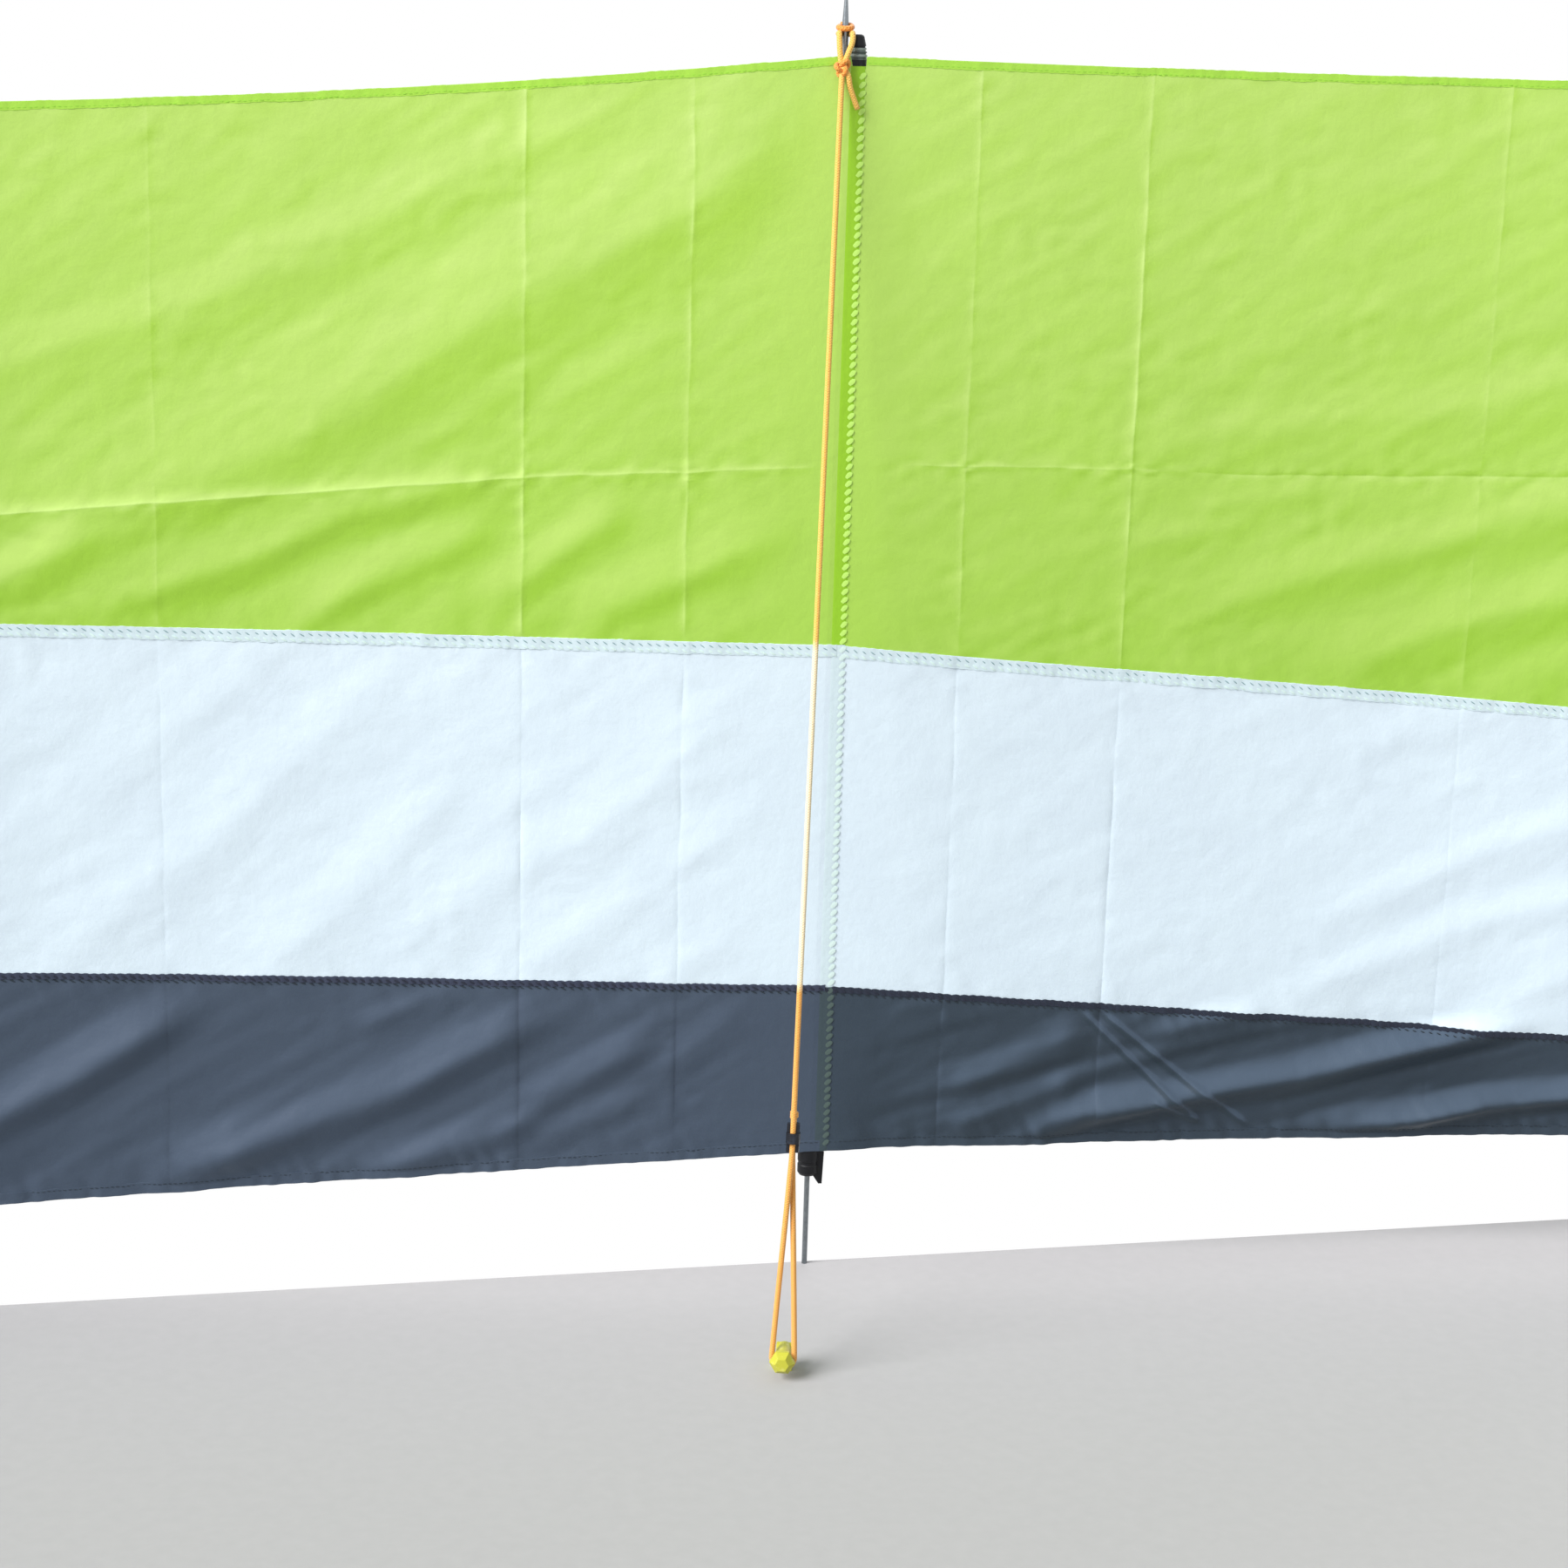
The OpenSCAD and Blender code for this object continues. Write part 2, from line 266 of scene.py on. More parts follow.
def noise(x, y, seed):
    """Smooth value noise from -1 to 1 on a unit grid, the same in every run."""
    table = np.random.default_rng(seed).uniform(-1, 1, (LATTICE, LATTICE))
    column = np.floor(x).astype(int)
    row = np.floor(y).astype(int)
    fx = ease(x - column)
    fy = ease(y - row)
    a = table[column % LATTICE, row % LATTICE]
    b = table[(column + 1) % LATTICE, row % LATTICE]
    c = table[column % LATTICE, (row + 1) % LATTICE]
    d = table[(column + 1) % LATTICE, (row + 1) % LATTICE]
    return between(between(a, b, fx), between(c, d, fx), fy)


# Folds of the hanging cloth: crest points in the picture, then the width of the lit slope above the
# crest, the width of the shaded slope below it, and the height, in millimetres.
LEFT_FOLDS = (
    (((-120, 760), (60, 655), (210, 570), (420, 452), (600, 345), (785, 240), (960, 130), (1140, 20)),
     92, 74, 3.5),
    (((-140, 470), (0, 420), (160, 375), (330, 300), (500, 220), (600, 175), (770, 100)), 34, 60, 1.5),
    (((390, 560), (530, 490), (600, 440), (660, 410)), 26, 22, 0.8),
    (((610, 480), (715, 415), (800, 370)), 22, 22, 0.6),
    (((-150, 740), (0, 668), (140, 598)), 30, 30, 2.4),
    (((60, 720), (110, 702), (280, 645), (410, 585), (590, 548)), 44, 30, 2.9),
    (((330, 716), (450, 660), (590, 590)), 34, 28, 2.0),
    (((545, 706), (640, 640), (735, 570)), 32, 28, 2.1),
    (((640, 722), (770, 668), (885, 620), (960, 580)), 42, 28, 2.5),
    (((790, 738), (860, 712), (920, 695)), 20, 16, 0.6),
    (((20, 1135), (53, 1113), (153, 1033), (247, 967), (327, 887), (427, 813), (493, 760)), 46, 34, 1.5),
    (((280, 1130), (400, 1033), (487, 940), (545, 890)), 36, 52, 1.3),
    (((400, 1125), (527, 1040), (593, 993), (667, 967), (753, 893), (820, 833), (887, 780)), 48, 42, 1.5),
    (((760, 1005), (873, 920), (910, 895)), 24, 26, 0.8),
    (((765, 910), (880, 867)), 20, 22, 0.6),
    (((590, 1120), (707, 1040), (760, 1015)), 28, 30, 0.9),
    (((740, 1126), (860, 1073)), 24, 24, 0.7),
    (((-180, 1375), (0, 1283), (80, 1243), (167, 1190), (250, 1142)), 36, 22, 3.0),
    (((150, 1366), (333, 1300), (467, 1247), (587, 1183), (690, 1140)), 40, 24, 3.2),
    (((410, 1352), (567, 1300), (640, 1270)), 26, 18, 1.6),
    (((590, 1278), (707, 1213), (765, 1180)), 26, 18, 1.7),
    (((740, 1245), (860, 1147)), 20, 22, 0.7),
    (((400, 1186), (493, 1147), (540, 1130)), 16, 18, 0.8),
    (((600, 1318), (700, 1270), (760, 1240)), 18, 20, 0.8),
    (((-150, 601), (0, 590), (200, 576), (400, 562), (610, 546)), 10, 44, 1.2),
)
RIGHT_FOLDS = (
    (((1240, 522), (1425, 500), (1575, 485), (1700, 470), (1800, 440), (1960, 400)), 34, 58, 1.3),
    (((1360, 590), (1440, 575), (1540, 560)), 14, 16, 0.7),
    (((1280, 622), (1390, 612), (1450, 596)), 18, 22, 0.7),
    (((1310, 716), (1400, 697), (1500, 664), (1640, 630), (1800, 588), (1980, 530)), 34, 36, 1.9),
    (((1470, 775), (1570, 755), (1690, 715), (1800, 690), (1990, 640)), 38, 40, 2.2),
    (((1500, 225), (1600, 215), (1700, 200)), 24, 30, 0.5),
    (((1500, 370), (1560, 358), (1640, 366)), 18, 24, 0.5),
    (((1470, 1076), (1517, 1059), (1617, 1021), (1705, 984), (1800, 952), (1980, 900)), 28, 38, 1.4),
    (((1440, 1170), (1530, 1125), (1617, 1096), (1700, 1059), (1800, 1040), (1980, 985)), 30, 34, 1.6),
    (((1540, 868), (1680, 834), (1800, 800)), 26, 30, 0.6),
    (((1680, 1182), (1800, 1127), (1960, 1070)), 26, 26, 1.2),
    (((1130, 1312), (1242, 1278), (1367, 1260), (1492, 1240), (1586, 1215), (1692, 1190), (1830, 1165)),
     24, 18, 4.6),
    (((1490, 1304), (1617, 1290), (1699, 1274), (1800, 1262), (1990, 1225)), 22, 15, 4.6),
    (((1070, 1258), (1167, 1221), (1262, 1168)), 24, 24, 1.5),
    (((1080, 1296), (1160, 1268), (1255, 1235)), 20, 22, 1.4),
    (((1300, 1200), (1405, 1171), (1470, 1160)), 20, 22, 1.4),
)
PINCHES = (
    (((1238, 1158), (1310, 1228), (1384, 1297)), 5, 6, 0.80),
    (((1262, 1160), (1350, 1232), (1440, 1300)), 5, 6, 0.75),
    (((1322, 1262), (1350, 1280), (1378, 1290)), 5, 6, 0.60),
    (((192, 534), (203, 548), (215, 557)), 5, 5, 0.50),
    (((205, 557), (222, 550)), 5, 5, 0.40),
    (((369, 557), (384, 546), (400, 534)), 5, 5, 0.50),
    (((363, 575), (376, 586), (389, 598)), 5, 5, 0.45),
    (((-20, 610), (14, 615), (48, 624)), 5, 5, -0.55),
    (((1661, 906), (1683, 903), (1708, 906)), 5, 6, 0.6),
    (((908, 100), (914, 150), (922, 190)), 5, 6, 0.5),
)

# The roundness of a crest, the powers of its slopes, its growth in each band, and its fading at the ends.
# In the lowest band a fold is rounder and uneven along its length.
FOLD_ROUND = 0.20
LOW_ROUND = 0.55
LIT_POWER = 1.25
LOW_LIT_POWER = 1.9
SHADE_POWER = 1.5
BAND_GAIN = (1.45, 1.6, 4.0)
FOLD_FADE = 0.24
UNEVEN = 0.34
UNEVEN_WAVES = 6
UNEVEN_ROW = 97

# A fold whose lit slope is no wider than this, as a pinch's, fades only close to its ends. The first few
# pinches also have painted light and shade, a painted highlight on one side and painted shade on the other,
# over a reach beside the line.
PINCH_WIDTH = 10
PINCH_FADE = 0.10
PINCH_LINES = 3
PINCH_PAINTED_LIGHT = 1.8
PINCH_REACH = 0.0026

# Packing creases: upright ones by place along the bay and strength, and a level one by points in the
# picture with its strength, below zero where it is pressed the other way.
UPRIGHT_CREASES = (
    (-0.711, 0.45), (-0.327, 1.0), (-0.154, 0.9),
    (0.145, 0.75), (0.327, 1.0), (0.719, 0.45),
)
LEVEL_CREASE = (
    (-160, 602, 1.0), (0, 590, 1.0), (200, 576, 1.0), (400, 562, 1.0), (600, 547, 0.9), (780, 541, 0.7),
    (930, 535, 0.6), (1090, 533, 0.6), (1290, 538, 0.5), (1420, 545, -0.6), (1600, 548, -0.7),
    (1800, 549, -0.7), (1980, 551, -0.6),
)
CREASE_WIDTH = 0.0030
CREASE_RISE = 0.0010
UPRIGHT_MARK = 0.8
UPRIGHT_SPREAD = 0.012
LEVEL_RISE = 0.0011
LEVEL_ABOVE = 0.0024
LEVEL_BELOW = 0.0080
LEVEL_EVEN = 0.75
LEVEL_MARK = 0.6
LEVEL_SPREAD = 0.020
CROSS_REACH = 0.035
STRENGTH = 0.55
STRENGTH_CELL = (0.06, 0.045)
STRENGTH_SHIFT = 7.3

# Unevenness of the cloth: its height in millimetres, the size of its cells along and up, and a seed.
UPRIGHT_WANDER = (1.2, 0.05, 0.05, 31)
LEVEL_WANDER = (0.9, 0.030, 1.0, 39)
CRUMPLE = (0.8, 0.009, 0.007, 47)
FINE_CRUMPLE = (0.48, 0.005, 0.004, 48)
BESIDE_UPRIGHT = (0.5, 0.010, 0.008, 49)
BESIDE_LEVEL = (0.6, 0.011, 0.009, 51)
CRINKLE = (0.65, 0.016, 0.011, 73)
CRINKLE_PATCH = (0.07, 0.06)
WAVE = (0.8, 0.22, 0.30, 77)

# Drapes: height in millimetres, slant in degrees, the size of a ridge across and along, and a seed.
LEFT_DRAPE = (1.5, 38, 0.030, 0.30, 61)
RIGHT_DRAPE = (1.5, 20, 0.034, 0.34, 67)
LEFT_PULL = (0.7, 27, 0.015, 0.16, 63)
RIGHT_PULL = (1.6, 15, 0.015, 0.20, 69)
FINE_DRAPE = (0.28, 30, 0.011, 0.05, 71)
DRAPE_BEND = 0.25

# The wide drapes grow away from the poles and down the cloth.
DRAPE_LEAST = 0.10
DRAPE_SWING = 0.32
DRAPE_HIGH = 0.35
DRAPE_CLEAR = 0.05
DRAPE_TOP = 0.95
DRAPE_RUN = 0.5

# Gathers beside the sewing: the line, how far below it, the height in millimetres, the reach, and a seed.
GATHERS = (
    (top_rel, TOP_HEM_TALL, 0.35, 0.016, 81),
    (upper_seam_rel, 0.0, 0.55, 0.022, 83),
    (upper_seam_rel, FELL_TALL, 0.45, 0.024, 85),
    (lower_seam_rel, 0.008, 1.00, 0.020, 87),
    (bottom_rel, -LOW_HEM_TALL - 0.004, 2.10, 0.016, 89),
)
GATHER_LEAN = 0.5
GATHER_CELLS = ((1.0, 0.011, 0.05), (0.6, 0.024, 0.07))


def uneven(kind, x, h):
    height, along, up, seed = kind
    return height * MM * noise(x / along, h / up, seed)


def drape(kind, x, h):
    """Soft ridges that run at a slant."""
    height, degrees, across, along, seed = kind
    slant = math.radians(degrees)
    q = h * math.cos(slant) - x * math.sin(slant)
    a = x * math.cos(slant) + h * math.sin(slant)
    bend = DRAPE_BEND * noise(a / along, q / along, seed + 1)
    return height * MM * noise(q / across + bend, a / along, seed)


def along_fold(points, x, h):
    """Distance above the fold's crest line, signed, and the share of its length at the nearest point."""
    ends = np.array([on_cloth(*p) for p in points])
    best = np.full(x.shape, np.inf)
    signed = np.zeros(x.shape)
    share = np.zeros(x.shape)
    marks = length_run(ends)
    for a, b, done, reached in zip(ends[:-1], ends[1:], marks[:-1], marks[1:]):
        way = unit(b - a)
        dx = x - a[0]
        dh = h - a[1]
        held = np.clip(dx * way[0] + dh * way[1], 0, reached - done)
        far = (dx - held * way[0]) ** 2 + (dh - held * way[1]) ** 2
        nearer = far < best
        side = np.sign(way[0] * dh - way[1] * dx)
        best = np.where(nearer, far, best)
        signed = np.where(nearer, side * np.sqrt(far), signed)
        share = np.where(nearer, (done + held) / marks[-1], share)
    return signed, share


def fade(share, soft):
    """Full along the middle of a fold, and nothing at its two ends."""
    return ease(share / soft) * ease((1 - share) / soft)


def fold(entry, x, h):
    """Height of one fold: a soft crest with a wide lit slope and a short shaded one."""
    points, above, below, height = entry
    q, share = along_fold(points, x, h)
    lowest = below_line(lower_seam_rel, x, h)
    bend = between(FOLD_ROUND, LOW_ROUND, lowest) * min(above, below) * MM
    run = np.sqrt(q * q + bend ** 2) - bend
    power = np.where(q > 0, between(LIT_POWER, LOW_LIT_POWER, lowest), SHADE_POWER)
    body = np.clip(1 - run / (np.where(q > 0, above, below) * MM), 0, 1) ** power
    soft = FOLD_FADE if above > PINCH_WIDTH else PINCH_FADE
    high, middle, low = BAND_GAIN
    gain = between(high, middle, below_line(upper_seam_rel, x, h)) + (low - middle) * lowest
    row = np.full_like(x, points[0][0] / UNEVEN_ROW)
    gain = gain * (1 + UNEVEN * lowest * noise(share * UNEVEN_WAVES, row, seed=65))
    return gain * height * MM * body * fade(share, soft)


def fold_relief(x, h):
    """Folds of every bay: the bay left of the third pole is repeated one bay further left."""
    k, _, _ = in_bay(x)
    near_left = np.where(k == 0, x + BAY, x)
    total = np.zeros_like(x)
    for entry in LEFT_FOLDS:
        total += np.where(k < BAYS - 1, fold(entry, near_left, h), 0)
    for entry in RIGHT_FOLDS + PINCHES:
        total += np.where(k == 0, 0, fold(entry, x, h))
    return total


def crease_line(d):
    """A pressed crease: a sharp ridge with a soft foot."""
    return np.exp(-np.abs(d) / CREASE_WIDTH)


def crease_strength(x, h, seed):
    """Creases come and go along their length."""
    along, up = STRENGTH_CELL
    return between(STRENGTH, 1, noise(x / along + STRENGTH_SHIFT, h / up, seed))


def level_crease(x):
    """Height of the level crease and its strength; the first bay repeats the second."""
    marks = np.array([(*on_cloth(px, py), strength) for px, py, strength in LEVEL_CREASE])
    near = np.where(in_bay(x)[0] == 0, x + BAY, x)
    line = np.interp(near, marks[:, 0], marks[:, 1]) + uneven(LEVEL_WANDER, near, np.zeros_like(near))
    return line, np.interp(near, marks[:, 0], marks[:, 2])


def creases(x, h):
    """Height of the packing creases, and how far each point is pressed, from 0 to 1."""
    line, strength = level_crease(x)
    across = h - line
    slope = np.exp(-np.abs(across) / np.where(across > 0, LEVEL_ABOVE, LEVEL_BELOW))
    rise = slope * between(LEVEL_EVEN, 1, crease_strength(x, h, seed=41)) * strength * LEVEL_RISE
    rise += np.exp(-np.abs(across) / LEVEL_SPREAD) * uneven(BESIDE_LEVEL, x, h)
    mark = LEVEL_MARK * np.abs(strength) * crease_line(across)
    place = bay_local(x) + uneven(UPRIGHT_WANDER, x, h)
    pressed = crease_strength(x, h, seed=43)
    turned = np.where(h > upper_seam_rel(x), CREASE_RISE, -CREASE_RISE)
    crumple = uneven(CRUMPLE, x, h) + uneven(FINE_CRUMPLE, x, h)
    beside = uneven(BESIDE_UPRIGHT, x, h)
    for crease_x, share in UPRIGHT_CREASES:
        d = place - crease_x
        upright = share * crease_line(d) * pressed
        mark = np.maximum(mark, UPRIGHT_MARK * upright)
        rise += upright * turned
        rise += share * np.exp(-(d * d + across * across) / CROSS_REACH ** 2) * crumple
        rise += share * np.exp(-np.abs(d) / UPRIGHT_SPREAD) * beside
    return rise, mark


def soft_relief(x, h):
    """Small drape, crinkles and the general unevenness of thin cloth."""
    left = x < MAIN_X
    reach = ease((np.abs(bay_local(x)) - DRAPE_CLEAR) / DRAPE_RUN)
    low = ease((DRAPE_TOP - h) / DRAPE_RUN)
    wide = np.where(left, drape(LEFT_DRAPE, x, h), drape(RIGHT_DRAPE, x, h))
    wide *= DRAPE_LEAST + DRAPE_SWING * reach * between(DRAPE_HIGH, 1, low)
    pulled = np.where(left, drape(LEFT_PULL, x, h), drape(RIGHT_PULL, x, h))
    pulled *= below_line(lower_seam_rel, x, h)
    along, up = CRINKLE_PATCH
    crinkle = uneven(CRINKLE, x, h) * noise(x / along, h / up, seed=75)
    return wide + pulled + drape(FINE_DRAPE, x, h) + crinkle + uneven(WAVE, x, h)


def pucker(x, h):
    """Gathers that the sewing leaves beside the seams and hems."""
    total = np.zeros_like(x)
    for line, below, height, reach, seed in GATHERS:
        d = h - (line(x) - below)
        lean = x + GATHER_LEAN * d
        for i, (share, along, up) in enumerate(GATHER_CELLS):
            total += share * height * MM * np.exp(-np.abs(d) / reach) * noise(lean / along, h / up, seed + i)
    return total


def pole_shape(x, h):
    """Place of the cloth's middle along y: off the seam, back, then over the next pole's sleeve."""
    k, past, to_next = in_bay(x)
    past = past - RECEDE_FROM
    deep = RECEDE[k]
    out = between(-SEAM_FRONT, deep, ease(past / RECEDE_RUN[k]))
    out -= deep * ease((past - RECEDE_RUN[k]) / RECEDE_BACK[k])
    lean = LEAN_BACK[k] * np.clip(1 - h / LEAN_RISE, 0, 1) ** 2
    out += lean * ease(past / LEAN_RUN) * ease(to_next / LEAN_END)
    last = k == BAYS - 1
    span = np.where(last, LAST_RUN, WRAP_START)
    return out - np.where(last, SEAM_FRONT, WRAP_RADIUS) * ease((span - to_next) / span)


def clear_of_poles(x, after, before):
    """0 at the sleeves and 1 between them."""
    _, past, to_next = in_bay(x)
    return ease((past - after[0]) / after[1]) * ease((to_next - before[0]) / before[1])


def relief_of(x, h):
    """How far the cloth stands out to the front, and how far its creases are pressed."""
    rise, mark = creases(x, h)
    pressed = clear_of_poles(x, *PRESSED)
    soft = fold_relief(x, h) + soft_relief(x, h) + pucker(x, h)
    return soft * clear_of_poles(x, *CALM) + rise * pressed, mark * pressed


def pinch_painted_light(x, h):
    """Each hard pinch line of the third bay's lowest band has a painted highlight on one side and painted
    shade on the other.
    """
    total = np.zeros_like(x)
    for points, _, _, _ in PINCHES[:PINCH_LINES]:
        q, share = along_fold(points, x, h)
        sides = np.exp(-(q / PINCH_REACH - 1) ** 2) - np.exp(-(q / PINCH_REACH + 1) ** 2)
        total += PINCH_PAINTED_LIGHT * sides * fade(share, PINCH_FADE)
    return total


def soften(values):
    """Each value of a grid averaged with its neighbours."""
    for axis in (0, 1):
        padded = np.pad(values, [(1, 1) if axis == a else (0, 0) for a in (0, 1)], mode="edge")
        ends = np.split(padded, [2], axis=axis)[1] + np.split(padded, [-2], axis=axis)[0]
        values = values / 2 + ends / 4
    return values


def turned_to_light(x, h, relief, full):
    """How far each point of the folds is turned to the key light, from -1 to 1, with the pinches' painted
    light and shade added: the value from which the cloth paints its highlight and shade.
    """
    down = np.gradient(relief, axis=0) / np.gradient(h, axis=0)
    along = (np.gradient(relief, axis=1) - down * np.gradient(h, axis=1)) / np.gradient(x, axis=1)
    turn = (along * KEY_FROM[0] + down * KEY_FROM[2]) / KEY_FROM[1]
    return soften(np.clip(turn / full, -1, 1)) + pinch_painted_light(x, h)


# Meshes.
SHARP_TURN = math.radians(35)


def new_mesh(name, points, faces, materials, picks=None, uv=None):
    """A smooth mesh, with a material number for each face and a UV in metres for each point."""
    mesh = bpy.data.meshes.new(name)
    mesh.from_pydata(np.reshape(points, (-1, 3)).tolist(), [], [tuple(f) for f in faces])
    for material in materials:
        mesh.materials.append(material)
    if picks is not None:
        mesh.polygons.foreach_set("material_index", np.asarray(picks, np.int32))
    mesh.polygons.foreach_set("use_smooth", np.ones(len(mesh.polygons), bool))
    if uv is not None:
        corner = np.zeros(len(mesh.loops), np.int32)
        mesh.loops.foreach_get("vertex_index", corner)
        layer = mesh.uv_layers.new(name="cloth")
        layer.data.foreach_set("uv", np.reshape(uv, (-1, 2)).astype(np.float32)[corner].ravel())
    mesh.update()
    return link(bpy.data.objects.new(name, mesh))


def add_value(obj, name, values):
    attribute = obj.data.attributes.new(name, "FLOAT", "POINT")
    attribute.data.foreach_set("value", values.astype(np.float32).ravel())


def crisp(obj):
    """Keeps the corners of a sewn piece sharp."""
    obj.data.set_sharp_from_angle(angle=SHARP_TURN)
    return obj


def cloth_grid(name, points, uv, thick, materials, picks=None):
    """A sheet, its thickness half on each side; the thin rim doesn't bend the shading of the faces."""
    rows, columns = points.shape[:2]
    r, c = np.meshgrid(np.arange(rows - 1), np.arange(columns - 1), indexing="ij")
    a = (r * columns + c).ravel()
    faces = np.stack([a, a + columns, a + columns + 1, a + 1], 1)
    obj = new_mesh(name, points, faces, materials, picks, uv)
    mesh = obj.data
    edges = np.zeros(len(mesh.loops), np.int32)
    mesh.loops.foreach_get("edge_index", edges)
    mesh.edges.foreach_set("use_edge_sharp", np.bincount(edges, minlength=len(mesh.edges)) == 1)
    step = obj.modifiers.new("thickness", "SOLIDIFY")
    step.thickness = thick
    step.offset = 0
    step.use_even_offset = True
    return obj


def ring_faces(rings, sides):
    """Faces of a closed tube of rings, with its two ends."""
    faces = []
    for i in range(rings - 1):
        for j in range(sides):
            n = (j + 1) % sides
            faces.append((i * sides + j, i * sides + n, (i + 1) * sides + n, (i + 1) * sides + j))
    faces.append(tuple(reversed(range(sides))))
    faces.append(tuple(range((rings - 1) * sides, rings * sides)))
    return faces


def join(name, parts, materials, uv=None):
    """One mesh from several lists of points and faces, with a material number for each."""
    faces = []
    picks = []
    base = 0
    for part_points, part_faces, pick in parts:
        faces.extend(tuple(i + base for i in f) for f in part_faces)
        picks.extend([pick] * len(part_faces))
        base += len(part_points)
    return new_mesh(name, np.concatenate([part[0] for part in parts]), faces, materials, picks, uv)


# Materials.
def linear(r, g, b):
    """A colour written in 0 to 255 as the screen shows it."""
    out = []
    for value in (r, g, b):
        v = value / 255
        out.append(v / 12.92 if v <= 0.04045 else ((v + 0.055) / 1.055) ** 2.4)
    return (*out, 1.0)


class Finish:
    """The shader nodes of a material or of the world, with short names for the kinds used here."""

    def __init__(self, owner):
        owner.use_nodes = True
        self.owner = owner
        self.tree = owner.node_tree

    def feed(self, socket, value):
        """Sets a socket to a number or a colour, or links another node's output to it."""
        if isinstance(value, bpy.types.NodeSocket):
            self.tree.links.new(value, socket)
        else:
            socket.default_value = value

    def put(self, kind, inputs, out=0, **settings):
        """A new node with its settings and inputs; gives one of its outputs."""
        made = self.tree.nodes.new("ShaderNode" + kind)
        for key, value in settings.items():
            setattr(made, key, value)
        for key, value in inputs.items():
            self.feed(made.inputs[key], value)
        return made.outputs[out]

    def done(self, looks):
        """Feeds the surface's own sockets and gives the material."""
        for key, value in looks.items():
            self.feed(self.tree.nodes["Principled BSDF"].inputs[key], value)
        return self.owner

    def uv(self):
        return self.put("UVMap", {}, uv_map="cloth")

    def place(self):
        return self.put("TexCoord", {}, "Object")

    def height(self):
        return self.split(self.put("NewGeometry", {}, "Position"))[2]

    def attribute(self, name):
        return self.put("Attribute", {}, "Fac", attribute_name=name)

    def split(self, vector):
        """The three parts of a vector."""
        return self.put("SeparateXYZ", {0: vector}, slice(None))

    def math(self, operation, a, b=0.0, clamp=False):
        return self.put("Math", {0: a, 1: b}, operation=operation, use_clamp=clamp)

    def mix(self, share, a, b, blend="MIX"):
        return self.put("Mix", {0: share, 6: a, 7: b}, 2, data_type="RGBA", blend_type=blend)

    def times(self, tone, tint):
        return self.mix(1.0, tone, (*tint, 1), "MULTIPLY")

    def spread(self, value, low, high, to_low=0.0, to_high=1.0):
        return self.put("MapRange", dict(enumerate((value, low, high, to_low, to_high))))

    def speckle(self, where, scale, detail=3.0, rough=0.55):
        return self.put("TexNoise", {"Vector": where, "Scale": scale, "Detail": detail, "Roughness": rough})

    def bands(self, where, direction, scale):
        settings = {"wave_type": "BANDS", "bands_direction": direction}
        return self.put("TexWave", {"Vector": where, "Scale": scale}, "Fac", **settings)

    def soft_edges(self, radius):
        """Small rounded edges on the solids' sharp corners."""
        return self.put("Bevel", {"Radius": radius}, samples=6)

    def bump(self, height, strength, distance, before=None):
        inputs = {"Strength": strength, "Distance": distance, "Height": height}
        if before is not None:
            inputs["Normal"] = before
        return self.put("Bump", inputs)


def new_finish(name):
    return Finish(bpy.data.materials.new(name))


# The usual range of a noise texture, and the cloth's threads; a wave texture counts in its own unit.
USUAL = (0.3, 0.7)
THREADS_PER_METRE = 1100
WAVE_UNIT = 0.3142


def cloth_material(name, high, low, crease, rough, sheen, gloss, pale=None, deep=None, wear_and_painted_light=0.30):
    """Thin woven polyester: weave, faint mottling, a tone along the creases, and a drift of tone down the
    cloth.

    The drift is painted light, paler at the top and deeper towards the bottom. The crease tone is partly wear
    and partly painted light and shade. Where pale and deep are given, they are a painted highlight on the
    slopes of the folds that face the key light and a painted shade on those that face away.
    """
    made = new_finish(name)
    uv = made.uv()
    # Painted light: the tone drifts from paler at the top to deeper towards the bottom.
    tone = made.mix(made.spread(made.split(uv)[1], 0.0, CLOTH_HEIGHT), linear(*high), linear(*low))
    mottle = made.spread(made.speckle(uv, scale=9.0, detail=5.0, rough=0.6), *USUAL)
    tone = made.mix(mottle, tone, made.times(tone, (0.95, 0.95, 0.96)))
    # The creases' tone is partly wear and partly painted light and shade along the creases.
    tone = made.mix(made.math("MULTIPLY", made.attribute("crease"), wear_and_painted_light, clamp=True), tone, linear(*crease))
    # Painted highlight and painted shade: slopes of the folds that face the key light are made paler, those
    # that face away deeper.
    if pale is not None:
        lit = made.attribute("lit")
        tone = made.mix(lit, tone, made.times(tone, pale))
        away = made.math("MULTIPLY", lit, -1.0, clamp=True)
        tone = made.mix(away, tone, made.times(tone, deep))
    scale = THREADS_PER_METRE * WAVE_UNIT
    weave = made.math("ADD", made.bands(uv, "X", scale), made.bands(uv, "Y", scale))
    patchy = made.speckle(uv, scale=30.0, detail=4.0)
    crumple = made.bump(made.speckle(uv, scale=60.0, detail=5.0, rough=0.62), strength=0.36, distance=0.0018)
    return made.done({
        "Base Color": made.mix(made.spread(weave, 0.0, 2.0), made.times(tone, (0.97, 0.97, 0.97)), tone),
        "Roughness": made.spread(patchy, *USUAL, rough - 0.06, rough + 0.06),
        "Normal": made.bump(weave, strength=0.22, distance=0.00012, before=crumple),
        "Sheen Weight": sheen,
        "Sheen Roughness": 0.4,
        "Specular IOR Level": gloss,
    })


def thread_material(name, *colour):
    made = new_finish(name)
    tone = linear(*colour)
    grain = made.speckle(made.place(), scale=900.0, detail=2.0)
    return made.done({
        "Base Color": made.mix(grain, made.times(tone, (0.86, 0.89, 0.85)), tone),
        "Normal": made.bump(grain, strength=0.5, distance=0.0003),
        "Roughness": 0.5,
        "Sheen Weight": 0.08,
        "Specular IOR Level": 0.25,
    })


